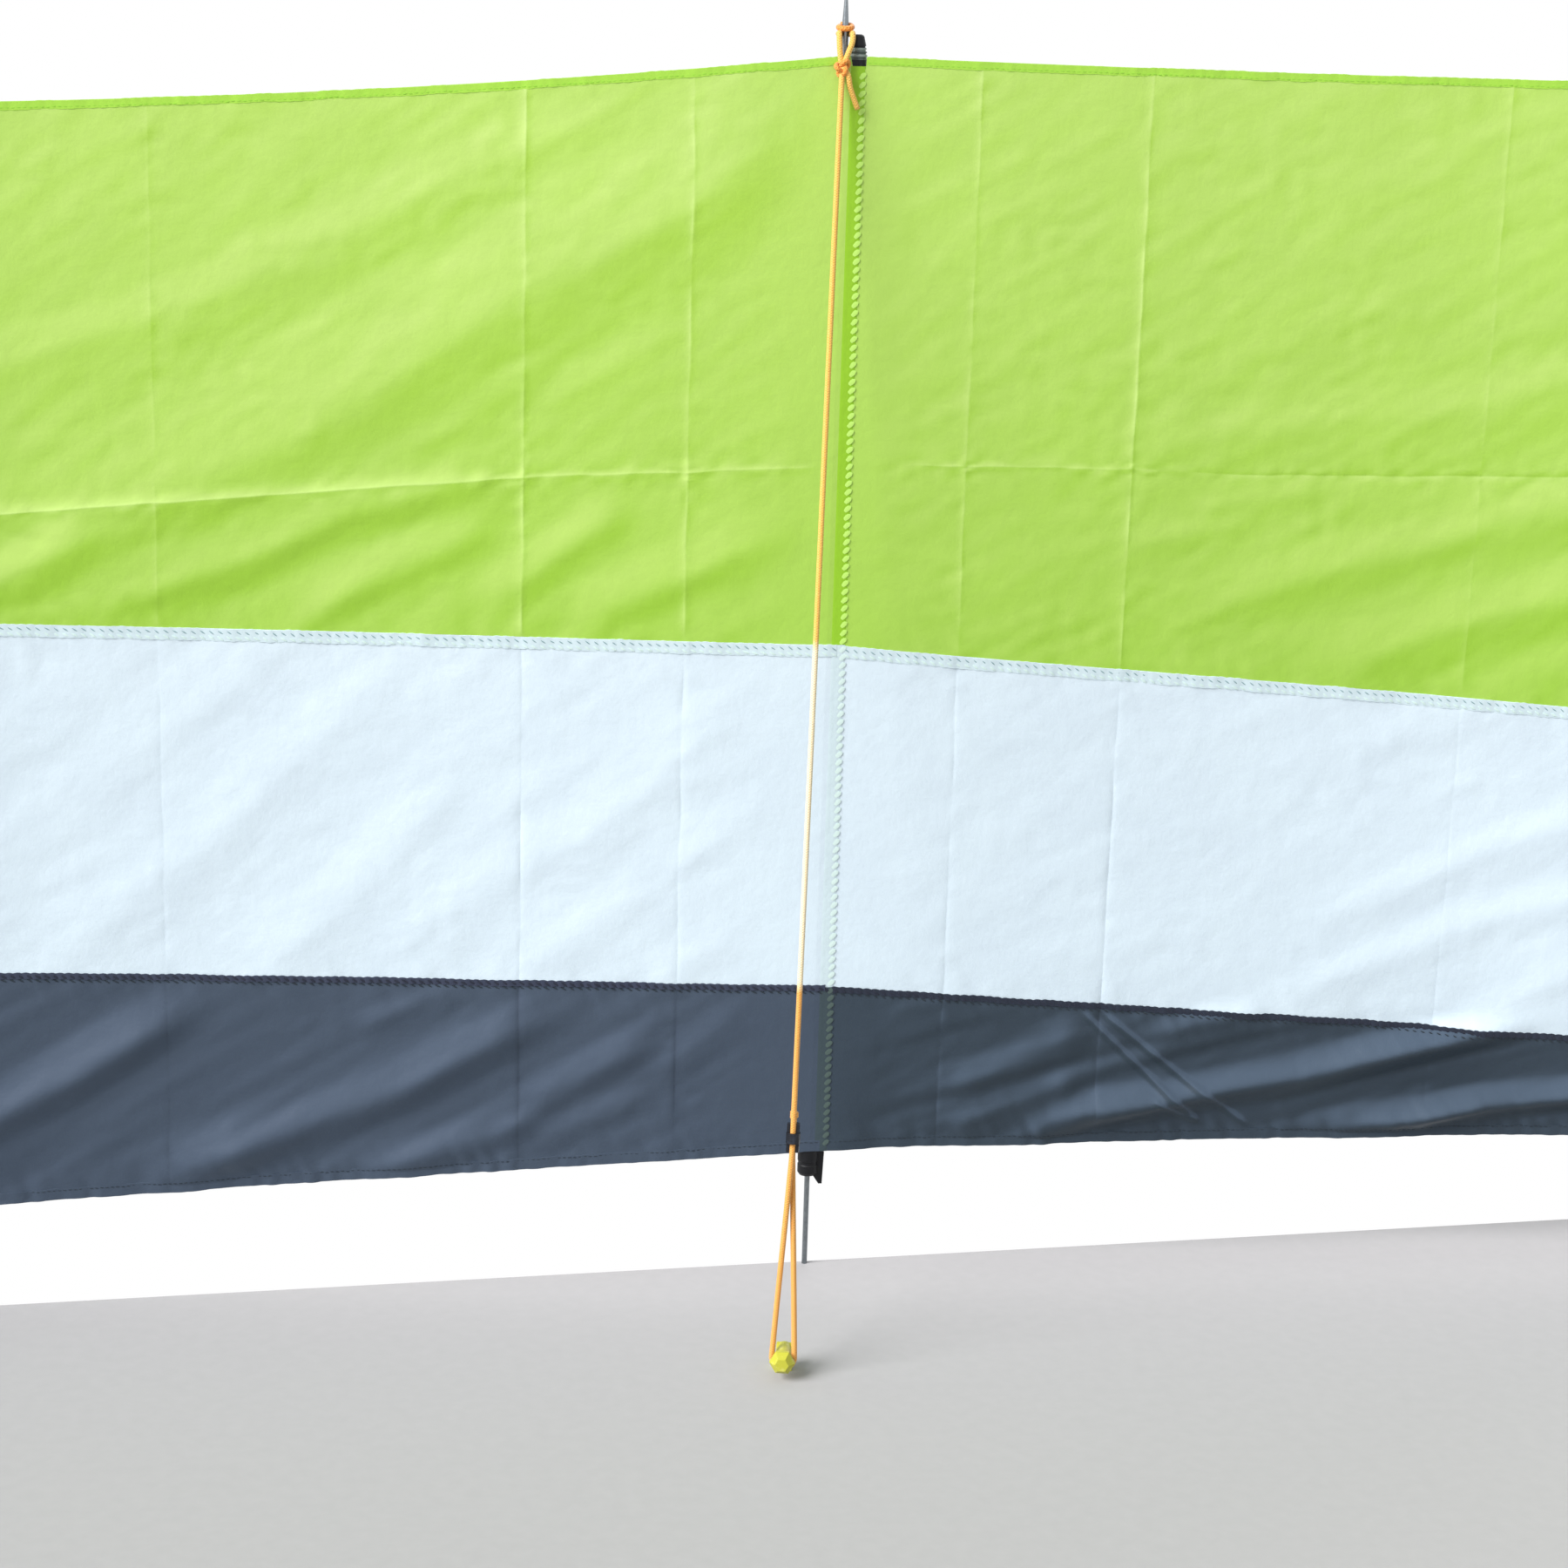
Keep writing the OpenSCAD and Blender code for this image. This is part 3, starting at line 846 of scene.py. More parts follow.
# Heights between which the guy cord is painted cream, a painted highlight; below them it is a deeper orange.
PAINTED_CREAM_LOW = 0.396
PAINTED_CREAM_HIGH = 0.742
PAINTED_CREAM_RUN = 0.012
PAINTED_CREAM_SHARE = 0.85
BRAID_STRANDS = 4
BRAID_PITCH = 0.0026


def painted_cream_tone(made, flecks):
    """Golden at the top, a painted cream highlight in mid height, and orange below."""
    height = made.height()
    golden = made.mix(flecks, linear(250, 196, 88), linear(255, 228, 160))
    orange = made.mix(flecks, linear(240, 172, 80), linear(250, 198, 118))
    upper = made.spread(height, PAINTED_CREAM_LOW, PAINTED_CREAM_LOW + PAINTED_CREAM_RUN)
    falling = made.spread(height, PAINTED_CREAM_HIGH, PAINTED_CREAM_HIGH + PAINTED_CREAM_RUN, 1.0, 0.0)
    painted_cream = made.math("MULTIPLY", made.math("MINIMUM", upper, falling), PAINTED_CREAM_SHARE)
    return made.mix(painted_cream, made.mix(upper, orange, golden), linear(255, 247, 222))


def cord_material(name, plain=None):
    """Braided cord: crossing strands with paler flecks, and painted shade in the grooves between the strands.
    UV runs in turns and in metres.

    Where plain gives its two tones, the cord has those at every height.
    """
    made = new_finish(name)
    uv = made.uv()
    around, along, _ = made.split(uv)
    turn = made.math("MULTIPLY", around, BRAID_STRANDS * 2 * math.pi)
    run = made.math("MULTIPLY", along, 2 * math.pi / BRAID_PITCH)
    one = made.math("SINE", made.math("ADD", turn, run))
    two = made.math("SINE", made.math("SUBTRACT", turn, run))
    strands = made.math("MAXIMUM", one, two)
    flecks = made.spread(made.speckle(uv, scale=160.0), 0.50, 0.72, 0.0, 0.75)
    tone = made.mix(flecks, *plain) if plain else painted_cream_tone(made, flecks)
    # Painted shade: the grooves between the strands are made deeper and redder.
    groove = made.spread(strands, -0.2, 0.9)
    return made.done({
        "Base Color": made.mix(groove, made.times(tone, (0.95, 0.82, 0.60)), tone),
        "Normal": made.bump(strands, strength=0.7, distance=0.0004),
        "Roughness": 0.55,
        "Sheen Weight": 0.25,
    })


GRIP_PITCH = 0.0060


def grip_tone(made, black, low, high):
    """A ribbed grey grip band between two heights of a black moulding."""
    height = made.height()
    above = made.math("GREATER_THAN", height, low)
    inside = made.math("MULTIPLY", above, made.math("LESS_THAN", height, high))
    ribs = made.bands(made.place(), "Z", WAVE_UNIT / GRIP_PITCH)
    return made.mix(inside, black, made.mix(ribs, linear(66, 76, 72), linear(156, 168, 160)))


def plastic_material(name, colour, wear_and_painted_light, rough, edge, grip=None):
    """Moulded plastic: fine grain, patches of handling wear, softened edges, and a grip band if it has one.
    On the slide the patches are also a painted highlight.
    """
    made = new_finish(name)
    where = made.place()
    grain = made.speckle(where, scale=1400.0)
    patch = made.spread(made.speckle(where, scale=120.0, detail=4.0, rough=0.65), 0.52, 0.75, 0.0, 0.55)
    tone = made.mix(patch, linear(*colour), linear(*wear_and_painted_light))
    return made.done({
        "Base Color": grip_tone(made, tone, *grip) if grip else tone,
        "Roughness": made.spread(grain, *USUAL, rough - 0.06, rough + 0.08),
        "Normal": made.bump(grain, strength=0.25, distance=0.0002, before=made.soft_edges(edge)),
        "Specular IOR Level": 0.28,
    })


def steel_material():
    made = new_finish("zinc_steel")
    cloud = made.speckle(made.place(), scale=260.0, detail=5.0, rough=0.65)
    return made.done({
        "Base Color": made.mix(cloud, linear(104, 110, 114), linear(150, 156, 160)),
        "Roughness": made.spread(cloud, *USUAL, 0.28, 0.46),
        "Normal": made.bump(cloud, strength=0.15, distance=0.0002, before=made.soft_edges(0.0004)),
        "Metallic": 1.0,
    })


# Cloths: the tone at the top and at the bottom, whose drift is painted light, the tone at a crease, partly
# painted light and shade, then roughness, sheen and gloss; where given, the tints of the painted highlight
# and painted shade of the folds.
GREEN = cloth_material(
    "cloth_green_weave", (190, 226, 110), (149, 199, 50), (212, 238, 150), 0.50, 0.04, 0.20,
    pale=(1.10, 1.00, 1.38), deep=(0.91, 1.00, 0.58))
PALE = cloth_material(
    "cloth_pale_weave", (224, 238, 246), (218, 234, 244), (206, 224, 236), 0.58, 0.08, 0.30)
SLATE = cloth_material(
    "cloth_slate_weave", (74, 86, 102), (70, 82, 98), (34, 42, 54), 0.46, 0.03, 0.20,
    pale=(1.20, 1.19, 1.21), deep=(1.00, 1.03, 1.04), wear_and_painted_light=0.80)
DEEP_SLATE = cloth_material(
    "cloth_deep_slate_weave", (60, 72, 84), (57, 69, 81), (74, 86, 101), 0.46, 0.03, 0.20,
    pale=(1.62, 1.60, 1.66), deep=(0.80, 0.84, 0.82))
HEM_GREEN = cloth_material(
    "hem_green_weave", (172, 223, 80), (164, 216, 70), (190, 232, 110), 0.50, 0.05, 0.20)
# The strip beside a sleeve is a deeper, more vivid green than the cloth: painted shade.
WELT_PAINTED_SHADE_GREEN = cloth_material(
    "welt_green_painted_shade", (156, 208, 52), (150, 203, 46), (176, 222, 84), 0.50, 0.04, 0.20)
SEAM_PALE = cloth_material(
    "seam_pale_weave", (212, 230, 235), (212, 230, 235), (196, 216, 222), 0.58, 0.06, 0.25)
SEAM_SLATE = cloth_material(
    "seam_slate_weave", (60, 66, 84), (60, 66, 84), (74, 82, 98), 0.45, 0.04, 0.20)
DEEP_SEAM = cloth_material(
    "seam_deep_weave", (45, 51, 65), (45, 51, 65), (60, 68, 82), 0.45, 0.04, 0.20)
SEAM_MOSS = cloth_material(
    "seam_moss_weave", (64, 78, 84), (64, 78, 84), (80, 96, 98), 0.50, 0.04, 0.20)
LIME_THREAD = thread_material("thread_lime", 200, 244, 118)
MINT_THREAD = thread_material("thread_mint", 220, 240, 237)
MOSS_THREAD = thread_material("thread_moss", 80, 96, 93)
TEAL_THREAD = thread_material("thread_teal", 142, 170, 176)
HEM_THREAD = thread_material("thread_hem", 164, 221, 72)
NAVY_THREAD = thread_material("thread_navy", 38, 42, 58)
DARK_THREAD = thread_material("thread_dark", 42, 52, 62)
CORD = cord_material("guy_cord")
# The ring and the first knot are a deeper orange: painted shade.
SHADED_KNOT_CORD = cord_material("knot_cord_painted_shade", (linear(246, 152, 48), linear(255, 206, 130)))
STEEL = steel_material()
BLACK_LOOK = ((11, 12, 16), (26, 28, 34), 0.50, 0.0006)
BLACK = plastic_material("black_moulding", *BLACK_LOOK)
# The slide's bluish patches are partly handling wear and partly a painted highlight.
SLIDE = plastic_material("black_slide", (24, 27, 34), (58, 66, 82), 0.30, 0.0005)
PEG = plastic_material("peg_moulding", (190, 188, 62), (228, 224, 138), 0.40, 0.0008)

# The bands from the top: names, slots of the record, and cloths, which in the lowest band differ by bay.
BAND_NAMES = ("upper", "middle", "lower")
BAND_SLOTS = ("cloth_green", "cloth_pale", "cloth_slate")
BAND_CLOTH = (GREEN, PALE, SLATE)
LOW_CLOTH = (SLATE, SLATE, DEEP_SLATE)
SHEET_CLOTH = ((GREEN,) * BAYS, (PALE,) * BAYS, LOW_CLOTH)
WELT_CLOTH = (WELT_PAINTED_SHADE_GREEN, SEAM_PALE, SEAM_MOSS)

# Cloth sheets: the step of each bay's bands, and the columns and rows beside creases and caps.
SHEET_STEP = (
    (0.0095, 0.0095, 0.0095),
    (0.0058, 0.0070, 0.0045),
    (0.0058, 0.0070, 0.0032),
)
CREASE_SIDES = (-0.005, -0.0022, -0.0008, 0.0, 0.0008, 0.0022, 0.005)
CREASE_CLEAR = 0.0065
CREASE_MARGIN = 0.01
CREASE_ROWS = np.array((0.12, 0.32, 0.64, 1.28))
LEVEL_MARGIN = 0.02
FEWEST_ROWS = 4
CAP_SIDES = (0.0076, 0.0078, 0.0080, 0.0082, 0.0084, 0.0092, 0.0106)
CAP_MARGIN = 0.002
HAIR = 1e-6


def wrap_line():
    """Outline seen from above, from a pole's axis: over the front of its sleeve, then on to the seam."""
    turns = np.linspace(0, WRAP_TURN, WRAP_ARC_POINTS + 1)[1:]
    arc = WRAP_RADIUS * np.stack([np.sin(turns), -np.cos(turns)], -1)
    way = np.array([math.cos(WRAP_TURN), math.sin(WRAP_TURN)])
    return np.concatenate([arc, arc[-1] + WRAP_RUNS[:, None] * way])


def seam_face(x):
    """Place along y of the cloth beside a pole, x from the pole's axis."""
    return (x - WRAP_RADIUS * math.sin(WRAP_TURN)) * math.tan(WRAP_TURN) - WRAP_RADIUS * math.cos(WRAP_TURN)


def columns_of(k, step):
    """Places along x for a bay's cloth, closer at creases and caps, and the outline over the next pole."""
    last = k == BAYS - 1
    start = POLE_X[k] + SEAM_START
    end = POLE_X[k + 1] - (SEAM_START if last else 0.0)
    even = np.linspace(start, end, int(round((end - start) / step)) + 1)
    places = [POLE_X[k if last else k + 1] + place for place, _ in UPRIGHT_CREASES]
    places = [p for p in places if start + CREASE_MARGIN < p < end - CREASE_MARGIN]
    for p in places:
        even = even[np.abs(even - p) > CREASE_CLEAR]
    extra = [p + s for p in places for s in CREASE_SIDES] + [CAP_X[k] + s for s in CAP_SIDES]
    if last:
        extra += [CAP_X[k + 1] - s for s in CAP_SIDES]
    flat_x = np.unique(np.round(np.concatenate([even, extra]), 6))
    return flat_x, np.zeros((0, 2)) if last else wrap_line()


def short_of_pole(k, x):
    """Places of a bay, with those past its next pole's axis brought back to it."""
    return np.minimum(x, POLE_X[k + 1] - HAIR)


def line_at(line, k, x):
    """Height of a cloth line at places of a bay; past the next pole's axis only the cap's dip changes."""
    inside = short_of_pole(k, x)
    made = line(inside)
    if line is top_rel:
        made = made + cap_dip(inside) - cap_dip(x)
    return made


def band_lines(band, k, x):
    lines = (top_rel, upper_seam_rel, lower_seam_rel, bottom_rel)
    return line_at(lines[band], k, x), line_at(lines[band + 1], k, x)


def rows_of(top, bottom, step, crease_h=None):
    """Heights for each column from a band's top line to its bottom line, closer at the level crease."""
    stops = [top, bottom]
    if crease_h is not None:
        stops = [top, np.clip(crease_h, bottom + LEVEL_MARGIN, top - LEVEL_MARGIN), bottom]
    rows = []
    for a, b in zip(stops[:-1], stops[1:]):
        count = max(FEWEST_ROWS, int(round(float(np.mean(a - b)) / step)))
        shares = np.linspace(0, 1, count + 1)
        if crease_h is not None:
            near = CREASE_ROWS / count
            shares = np.unique(np.concatenate([shares, near if b is bottom else 1 - near]))
        rows.extend(between(a, b, t) for t in shares[:-1])
    return np.array(rows + [bottom])


def make_sheet(name, band, k):
    """One band of one bay as one sheet, from its sleeve seam over the front of the next pole."""
    step = SHEET_STEP[k][band]
    flat_x, wrap = columns_of(k, step)
    line_x = np.concatenate([flat_x, POLE_X[k + 1] + wrap[:, 0]])
    inside = short_of_pole(k, line_x)
    top, bottom = band_lines(band, k, line_x)
    h = rows_of(top, bottom, step, level_crease(inside)[0] if band == 0 else None)
    x = np.array(np.broadcast_to(line_x, h.shape))
    place = np.broadcast_to(inside, h.shape)
    relief, mark = relief_of(place, h)
    y = pole_shape(place, h) - relief
    y[:, len(flat_x):] = wrap[:, 1]
    points = np.stack([x, y, h + hem_line(inside)], -1)
    uv = np.stack([x, CLOTH_HEIGHT - h], -1)
    obj = cloth_grid(name, points, uv, CLOTH_THICK, [SHEET_CLOTH[band][k]])
    add_value(obj, "crease", mark)
    # The cloth's painted highlight and painted shade are read from this value.
    add_value(obj, "lit", turned_to_light(x, h, relief, FULL_TURN[band]))
    return obj


def seam_path(line, below, k, step):
    """Points along a sewn line of a bay, on the cloth, from sleeve to sleeve."""
    flat_x, wrap = columns_of(k, step)
    x = np.append(np.arange(flat_x[0], flat_x[-1], step), flat_x[-1])
    x = np.union1d(x, flat_x[from_cap(flat_x) < CAP_CLEAR + CAP_MARGIN])
    x = np.concatenate([x, POLE_X[k + 1] + wrap[:, 0]])
    inside = short_of_pole(k, x)
    h = line_at(line, k, x) - below
    y = pole_shape(inside, h) - relief_of(inside, h)[0]
    y[len(x) - len(wrap):] = wrap[:, 1]
    path = np.stack([x, y, h + hem_line(inside)], -1)
    return path[cap_dip(x) == 0] if line is top_rel else path


# A strip's outline: shares of its height and of its thickness, from the top round the front.
STRIP_OUTLINE = np.array((
    (0.50, 0.25), (0.48, 0.50), (-0.48, 0.50), (-0.50, 0.25),
    (-0.50, -0.25), (-0.48, -0.50), (0.48, -0.50), (0.50, -0.25),
))
STRIP_STEP = 0.0024

# Unevenness along a strip: gathers, the drift of its scallops and the wander of its line, with their runs.
STRIP_GATHER = 0.14
STRIP_GATHER_RUNS = (0.006, 0.014)
STRIP_DRIFT = 0.9
STRIP_DRIFT_RUN = 0.05
STRIP_WANDER = 0.0006
STRIP_WANDER_RUN = 0.022


def make_strip(name, k, line, below, tall, thick, cloths, first_seed, pitch, depth):
    """A sewn fold of cloth along a line, a hem or a seam, drawn in a little at each stitch."""
    seed = first_seed + k
    path = seam_path(line, below, k, STRIP_STEP)
    side, out = STRIP_OUTLINE.T * np.array((tall, thick))[:, None]
    x, y, z = path.T[..., None]
    flat = np.zeros_like(x)
    gather = sum(noise(x / run, flat, seed + i) for i, run in enumerate(STRIP_GATHER_RUNS))
    drift = STRIP_DRIFT * noise(x / STRIP_DRIFT_RUN, flat, seed + 2)
    scallop = np.abs(np.sin(math.pi * x / pitch + drift))
    out = out * (1 + STRIP_GATHER * gather + depth * (2 * scallop - 1))
    wander = STRIP_WANDER * noise(x / STRIP_WANDER_RUN, flat, seed + 3)
    way = unit(np.gradient(path[:, :2], axis=0))
    strip_z = z + side * (1 + depth * (scallop - 0.5)) + wander
    points = np.stack([x + way[:, 1:] * out, y - way[:, :1] * out, strip_z], -1)
    level = CLOTH_HEIGHT - (strip_z - hem_line(points[..., 0]))
    uv = np.stack([points[..., 0], level], -1)
    return crisp(new_mesh(name, points, ring_faces(len(path), len(side)), [cloths[k]], uv=uv))


# A stitch's outline: places along it and its width there, as shares.
FINE_STITCH = ((-0.5, 0.35), (0.0, 1.0), (0.5, 0.35))
ROUND_STITCH = ((-0.5, 0.30), (-0.30, 0.85), (0.0, 1.0), (0.30, 0.85), (0.5, 0.30))
STITCH_STEP = 0.004
STITCH_SEED = 500
SEEDS_PER_BAY = 10
STITCH_TURN = 0.12
STITCH_SHIFT = 0.0004


def stitch_parts(centres, ways, outs, length, wide, flat=0.6, outline=FINE_STITCH, corners=4):
    """Small thread stitches, as points and faces of one mesh."""
    sides = np.cross(outs, ways)
    points = np.zeros((len(centres), len(outline), corners, 3))
    for r, (end, swell) in enumerate(outline):
        for s in range(corners):
            a = 2 * math.pi * (s + 0.5) / corners
            around = sides * math.cos(a) + outs * (flat * math.sin(a))
            points[:, r, s] = centres + ways * (end * length) + around * (swell * wide / 2)
    one = ring_faces(len(outline), corners)
    size = len(outline) * corners
    faces = [tuple(i + n * size for i in f) for n in range(len(centres)) for f in one]
    return points.reshape(-1, 3), faces


def at_run(path, run, marks):
    """Points of a path at given lengths along it."""
    return np.stack([np.interp(marks, run, path[:, i]) for i in range(3)], -1)


def make_stitches(name, k, line, rows):
    """Rows of slanted stitches along a sewn line of a bay."""
    parts = []
    for pick, (below, length, pitch, wide, slant, proud, _) in enumerate(rows):
        path = seam_path(line, below, k, STITCH_STEP)
        run = length_run(path)
        marks = np.arange(pitch / 2, run[-1], pitch)
        at = at_run(path, run, marks)
        ways = unit(at_run(path, run, np.minimum(marks + pitch / 4, run[-1])) - at)
        outs = unit(np.stack([ways[:, 1], -ways[:, 0], np.zeros(len(ways))], -1))
        draw = np.random.default_rng(STITCH_SEED + SEEDS_PER_BAY * k + pick)
        lean = math.radians(slant) + draw.uniform(-STITCH_TURN, STITCH_TURN, len(at))[:, None]
        turned = ways * np.cos(lean) + np.cross(outs, ways) * np.sin(lean)
        at = at + outs * proud
        at[:, 2] += draw.uniform(-STITCH_SHIFT, STITCH_SHIFT, len(at))
        parts.append((*stitch_parts(at, turned, outs, length, wide), pick))
    return crisp(join(name, parts, [row[-1] for row in rows]))


# Sleeves.
SLEEVE_RADIUS = 0.0106
SLEEVE_TURN = 28
SLEEVE_STEP = 0.014
SLEEVE_LEAD = 4
SLEEVE_RIPPLE = 0.012
RIPPLE_UP = 0.03
RIPPLE_ROUND = 4.0
RIPPLE_SEED = 91
FLANGE_HALF = 0.0009
FLANGE_BACK = 0.0016


def sleeve_section(pole):
    """Outline of the sleeve seen from above: round the pole, with both plies drawn flat into the seam."""
    seam_y = FLANGE_BACK - SEAM_FRONT
    aim = math.atan2(seam_y, SEAM_END)
    part = math.acos(SLEEVE_RADIUS / math.hypot(SEAM_END, seam_y))
    a = np.linspace(aim + part, 2 * math.pi + aim - part, SLEEVE_TURN + 1)
    ring = SLEEVE_RADIUS * np.stack([np.cos(a), np.sin(a)], -1)
    share = np.linspace(0, 1, SLEEVE_LEAD + 1)[:-1, None]
    back = np.array((SEAM_END, seam_y + FLANGE_HALF))
    front = np.array((SEAM_END, seam_y - FLANGE_HALF))
    section = np.concatenate([between(back, ring[0], share), ring, between(front, ring[-1], share)[::-1]])
    section[:, 0] *= SEAM_SIDE[pole]
    return section


def band_stops(pole):
    """Heights up a sleeve where its bands begin and end, from the bottom."""
    x = POLE_X[pole]
    return [0.0, float(lower_seam_rel(x)), float(upper_seam_rel(x)), CLOTH_HEIGHT - HEAD_SEAT]


def band_pick(h, pole):
    _, lower, upper, _ = band_stops(pole)
    return np.where(h > upper, 0, np.where(h > lower, 1, 2))


def pole_rows(pole, step):
    """Heights up a sleeve, with the two band seams among them."""
    stops = band_stops(pole)
    rows = [np.linspace(a, b, int((b - a) / step) + 2)[:-1] for a, b in zip(stops[:-1], stops[1:])]
    return np.append(np.concatenate(rows), stops[-1])


def up_pole(name, pole, rows, x, y, along, cloths):
    """A sheet that runs up a pole in the colours of the bands, with its UV along the cloth and down it."""
    x, up, along = (np.broadcast_to(values, y.shape) for values in (x, rows[:, None], along))
    points = np.stack([x, y, up + HEM_Z[pole]], -1)
    uv = np.stack([along, CLOTH_HEIGHT - up], -1)
    picks = np.repeat(band_pick((rows[:-1] + rows[1:]) / 2, pole), y.shape[1] - 1)
    return cloth_grid(f"{name}_{pole + 1}", points, uv, SLEEVE_THICK, cloths, picks)


def make_sleeve(pole):
    """The cloth round a pole, in the colours of the bands that it continues, and its flat size."""
    rows = pole_rows(pole, SLEEVE_STEP)
    section = sleeve_section(pole)
    place = np.arange(len(section)) / RIPPLE_ROUND
    ripple = 1 + SLEEVE_RIPPLE * noise(rows[:, None] / RIPPLE_UP, place[None], RIPPLE_SEED + pole)
    along = length_run(section)
    x = POLE_X[pole] + section[:, 0] * ripple
    obj = up_pole("sleeve_cover", pole, rows, x, section[:, 1] * ripple, along, BAND_CLOTH)
    return obj, float(along[-1]), float(rows[-1])


# The strip beside a sleeve, from the pole's axis, and the row of coarse stitches on it.
WELT_START = 0.0048
WELT_END = 0.0208
WELT_COLUMNS = 10
WELT_STEP = 0.0024
WELT_PROUD = 0.0002
WELT_CROWN = 0.0001
WELT_GATHER = 0.0003
WELT_DROP = 0.0003
PUCKER_START = 0.0120
PUCKER_RUN = 0.0025
PUCKER_STITCH = 0.9
PUCKER_UNEVEN = 0.3
PUCKER_CELL = 0.02
PUCKER_SEED = 95
STITCH_AT = 0.0178
STITCH_PITCH = 0.0090
STITCH_LONG = 0.0102
STITCH_WIDE = 0.0064
STITCH_FLAT = 0.14
STITCH_PROUD = 0.0004
STITCH_CORNERS = 6
STITCH_WAY = (0.80, 0.0, 0.60)
FIRST_STITCH = 0.010
LAST_STITCH = 0.006


def make_welt(pole):
    """The stitched strip beside a sleeve, puckered between the stitches."""
    rows = pole_rows(pole, WELT_STEP)
    across = np.linspace(0, 1, WELT_COLUMNS)
    reach = between(WELT_START, WELT_END, across)
    crown = np.sin(math.pi * across) ** 0.5
    gather = PUCKER_STITCH * np.abs(np.sin(math.pi * rows / STITCH_PITCH))
    gather += PUCKER_UNEVEN * noise(rows / PUCKER_CELL, rows * 0, PUCKER_SEED + pole)
    gather = gather[:, None] * ease((reach - PUCKER_START) / PUCKER_RUN)
    y = seam_face(reach) - WELT_PROUD - crown * (WELT_CROWN + WELT_GATHER * gather) + WELT_DROP * (1 - crown)
    x = POLE_X[pole] + SEAM_SIDE[pole] * reach
    return up_pole("sleeve_welt", pole, rows, x, y, x, WELT_CLOTH)


def make_sleeve_stitches(pole):
    """Coarse slanted stitches that close the sleeve; the thread takes each band's tone."""
    marks = np.arange(FIRST_STITCH, CLOTH_HEIGHT - HEAD_SEAT - LAST_STITCH, STITCH_PITCH)
    kinds = band_pick(marks, pole)
    x = POLE_X[pole] + SEAM_SIDE[pole] * STITCH_AT
    y = seam_face(STITCH_AT) - WELT_PROUD - STITCH_PROUD
    look = (STITCH_LONG, STITCH_WIDE, STITCH_FLAT, ROUND_STITCH, STITCH_CORNERS)
    parts = []
    for pick in range(len(BAND_NAMES)):
        centres = np.array([(x, y, mark + HEM_Z[pole]) for mark in marks[kinds == pick]])
        ways = np.broadcast_to(np.array(STITCH_WAY) * (SEAM_SIDE[pole], 1, 1), centres.shape)
        outs = np.broadcast_to((0.0, -1.0, 0.0), centres.shape)
        parts.append((*stitch_parts(centres, ways, outs, *look), pick))
    return crisp(join(f"sleeve_stitches_{pole + 1}", parts, [LIME_THREAD, MINT_THREAD, MOSS_THREAD]))


# Guy lines. The V below the runner opens from a share of its gap, a little to each side.
CORD_SIDES = 10
CORD_STEP = 0.0025
LONGEST_RUN = 30
CORD_TWIST = (0.3, 0.9, 0.2)
KNOT_PULL = 0.8
KNOT_EXIT = 0.004
KNOT_SIZE = 0.0042
KNOT_SPREAD = (0.62, 0.62, 0.95)
KNOT_POINTS = 72
TAIL_EXIT = 0.009
RING_START = 60
RING_TURN = 420
RING_RISE = 0.0056
RING_TILT = 0.0016
RING_CLIMB = 0.0022
V_SHARE = 0.85
V_OUT = 0.0015
V_LEAD = 0.03
STAY_PAST = 0.006
STOP_PAST = 0.0085
STOP_RADIUS = 0.0022
STOP_LENGTH = 0.005
STOP_TURNS = 2.0
STOP_POINTS = 14
STOP_TWIST = (0.2, 1.0, 0.1)


def smooth_path(points, step):
    """A rounded path through points, at an even step."""
    points = np.asarray(points, float)
    padded = np.concatenate([[2 * points[0] - points[1]], points, [2 * points[-1] - points[-2]]])
    made = []
    for i in range(1, len(padded) - 2):
        p0, p1, p2, p3 = padded[i - 1:i + 3]
        pull = np.linalg.norm(p2 - p1)
        m1 = unit(p2 - p0) * pull
        m2 = unit(p3 - p1) * pull
        t = np.linspace(0, 1, max(2, min(LONGEST_RUN, int(pull / step))), endpoint=False)[:, None]
        a = 2 * t ** 3 - 3 * t ** 2 + 1
        b = t ** 3 - 2 * t ** 2 + t
        d = t ** 3 - t ** 2
        made.append(a * p1 + b * m1 + (1 - a) * p2 + d * m2)
    return np.concatenate(made + [points[-1:]])


def cord_tube(path, diameter):
    """A round tube along a path, with its UV in turns and metres."""
    ways = unit(np.gradient(path, axis=0))
    side = np.cross(ways[0], CORD_TWIST)
    points = []
    uv = []
    for at, way, far in zip(path, ways, length_run(path)):
        side = unit(side - way * np.dot(side, way))
        other = np.cross(way, side)
        for j in range(CORD_SIDES):
            a = 2 * math.pi * j / CORD_SIDES
            points.append(at + (side * math.cos(a) + other * math.sin(a)) * diameter / 2)
            uv.append((j / CORD_SIDES, far))
    return points, ring_faces(len(path), CORD_SIDES), uv


def stop_knot(centre, way):
    """Cord wound round itself along a direction."""
    one = unit(np.cross(way, STOP_TWIST))
    two = np.cross(way, one)
    t = np.linspace(0, 1, int(STOP_TURNS * STOP_POINTS))[:, None]
    a = 2 * math.pi * STOP_TURNS * t
    return centre + way * (t - 0.5) * STOP_LENGTH + (one * np.cos(a) + two * np.sin(a)) * STOP_RADIUS


def overhand(centre, right, up):
    """A pulled-up overhand knot, as a closed three-lobed path a little longer than it is wide."""
    axes = np.array((right, up, np.cross(right, up))) * np.array(KNOT_SPREAD)[:, None] * KNOT_SIZE
    t = np.linspace(0, 2 * math.pi, KNOT_POINTS)
    lobes = (np.sin(t) + 2 * np.sin(2 * t), np.cos(t) - 2 * np.cos(2 * t), -np.sin(3 * t))
    return centre + np.stack(lobes, -1) @ axes


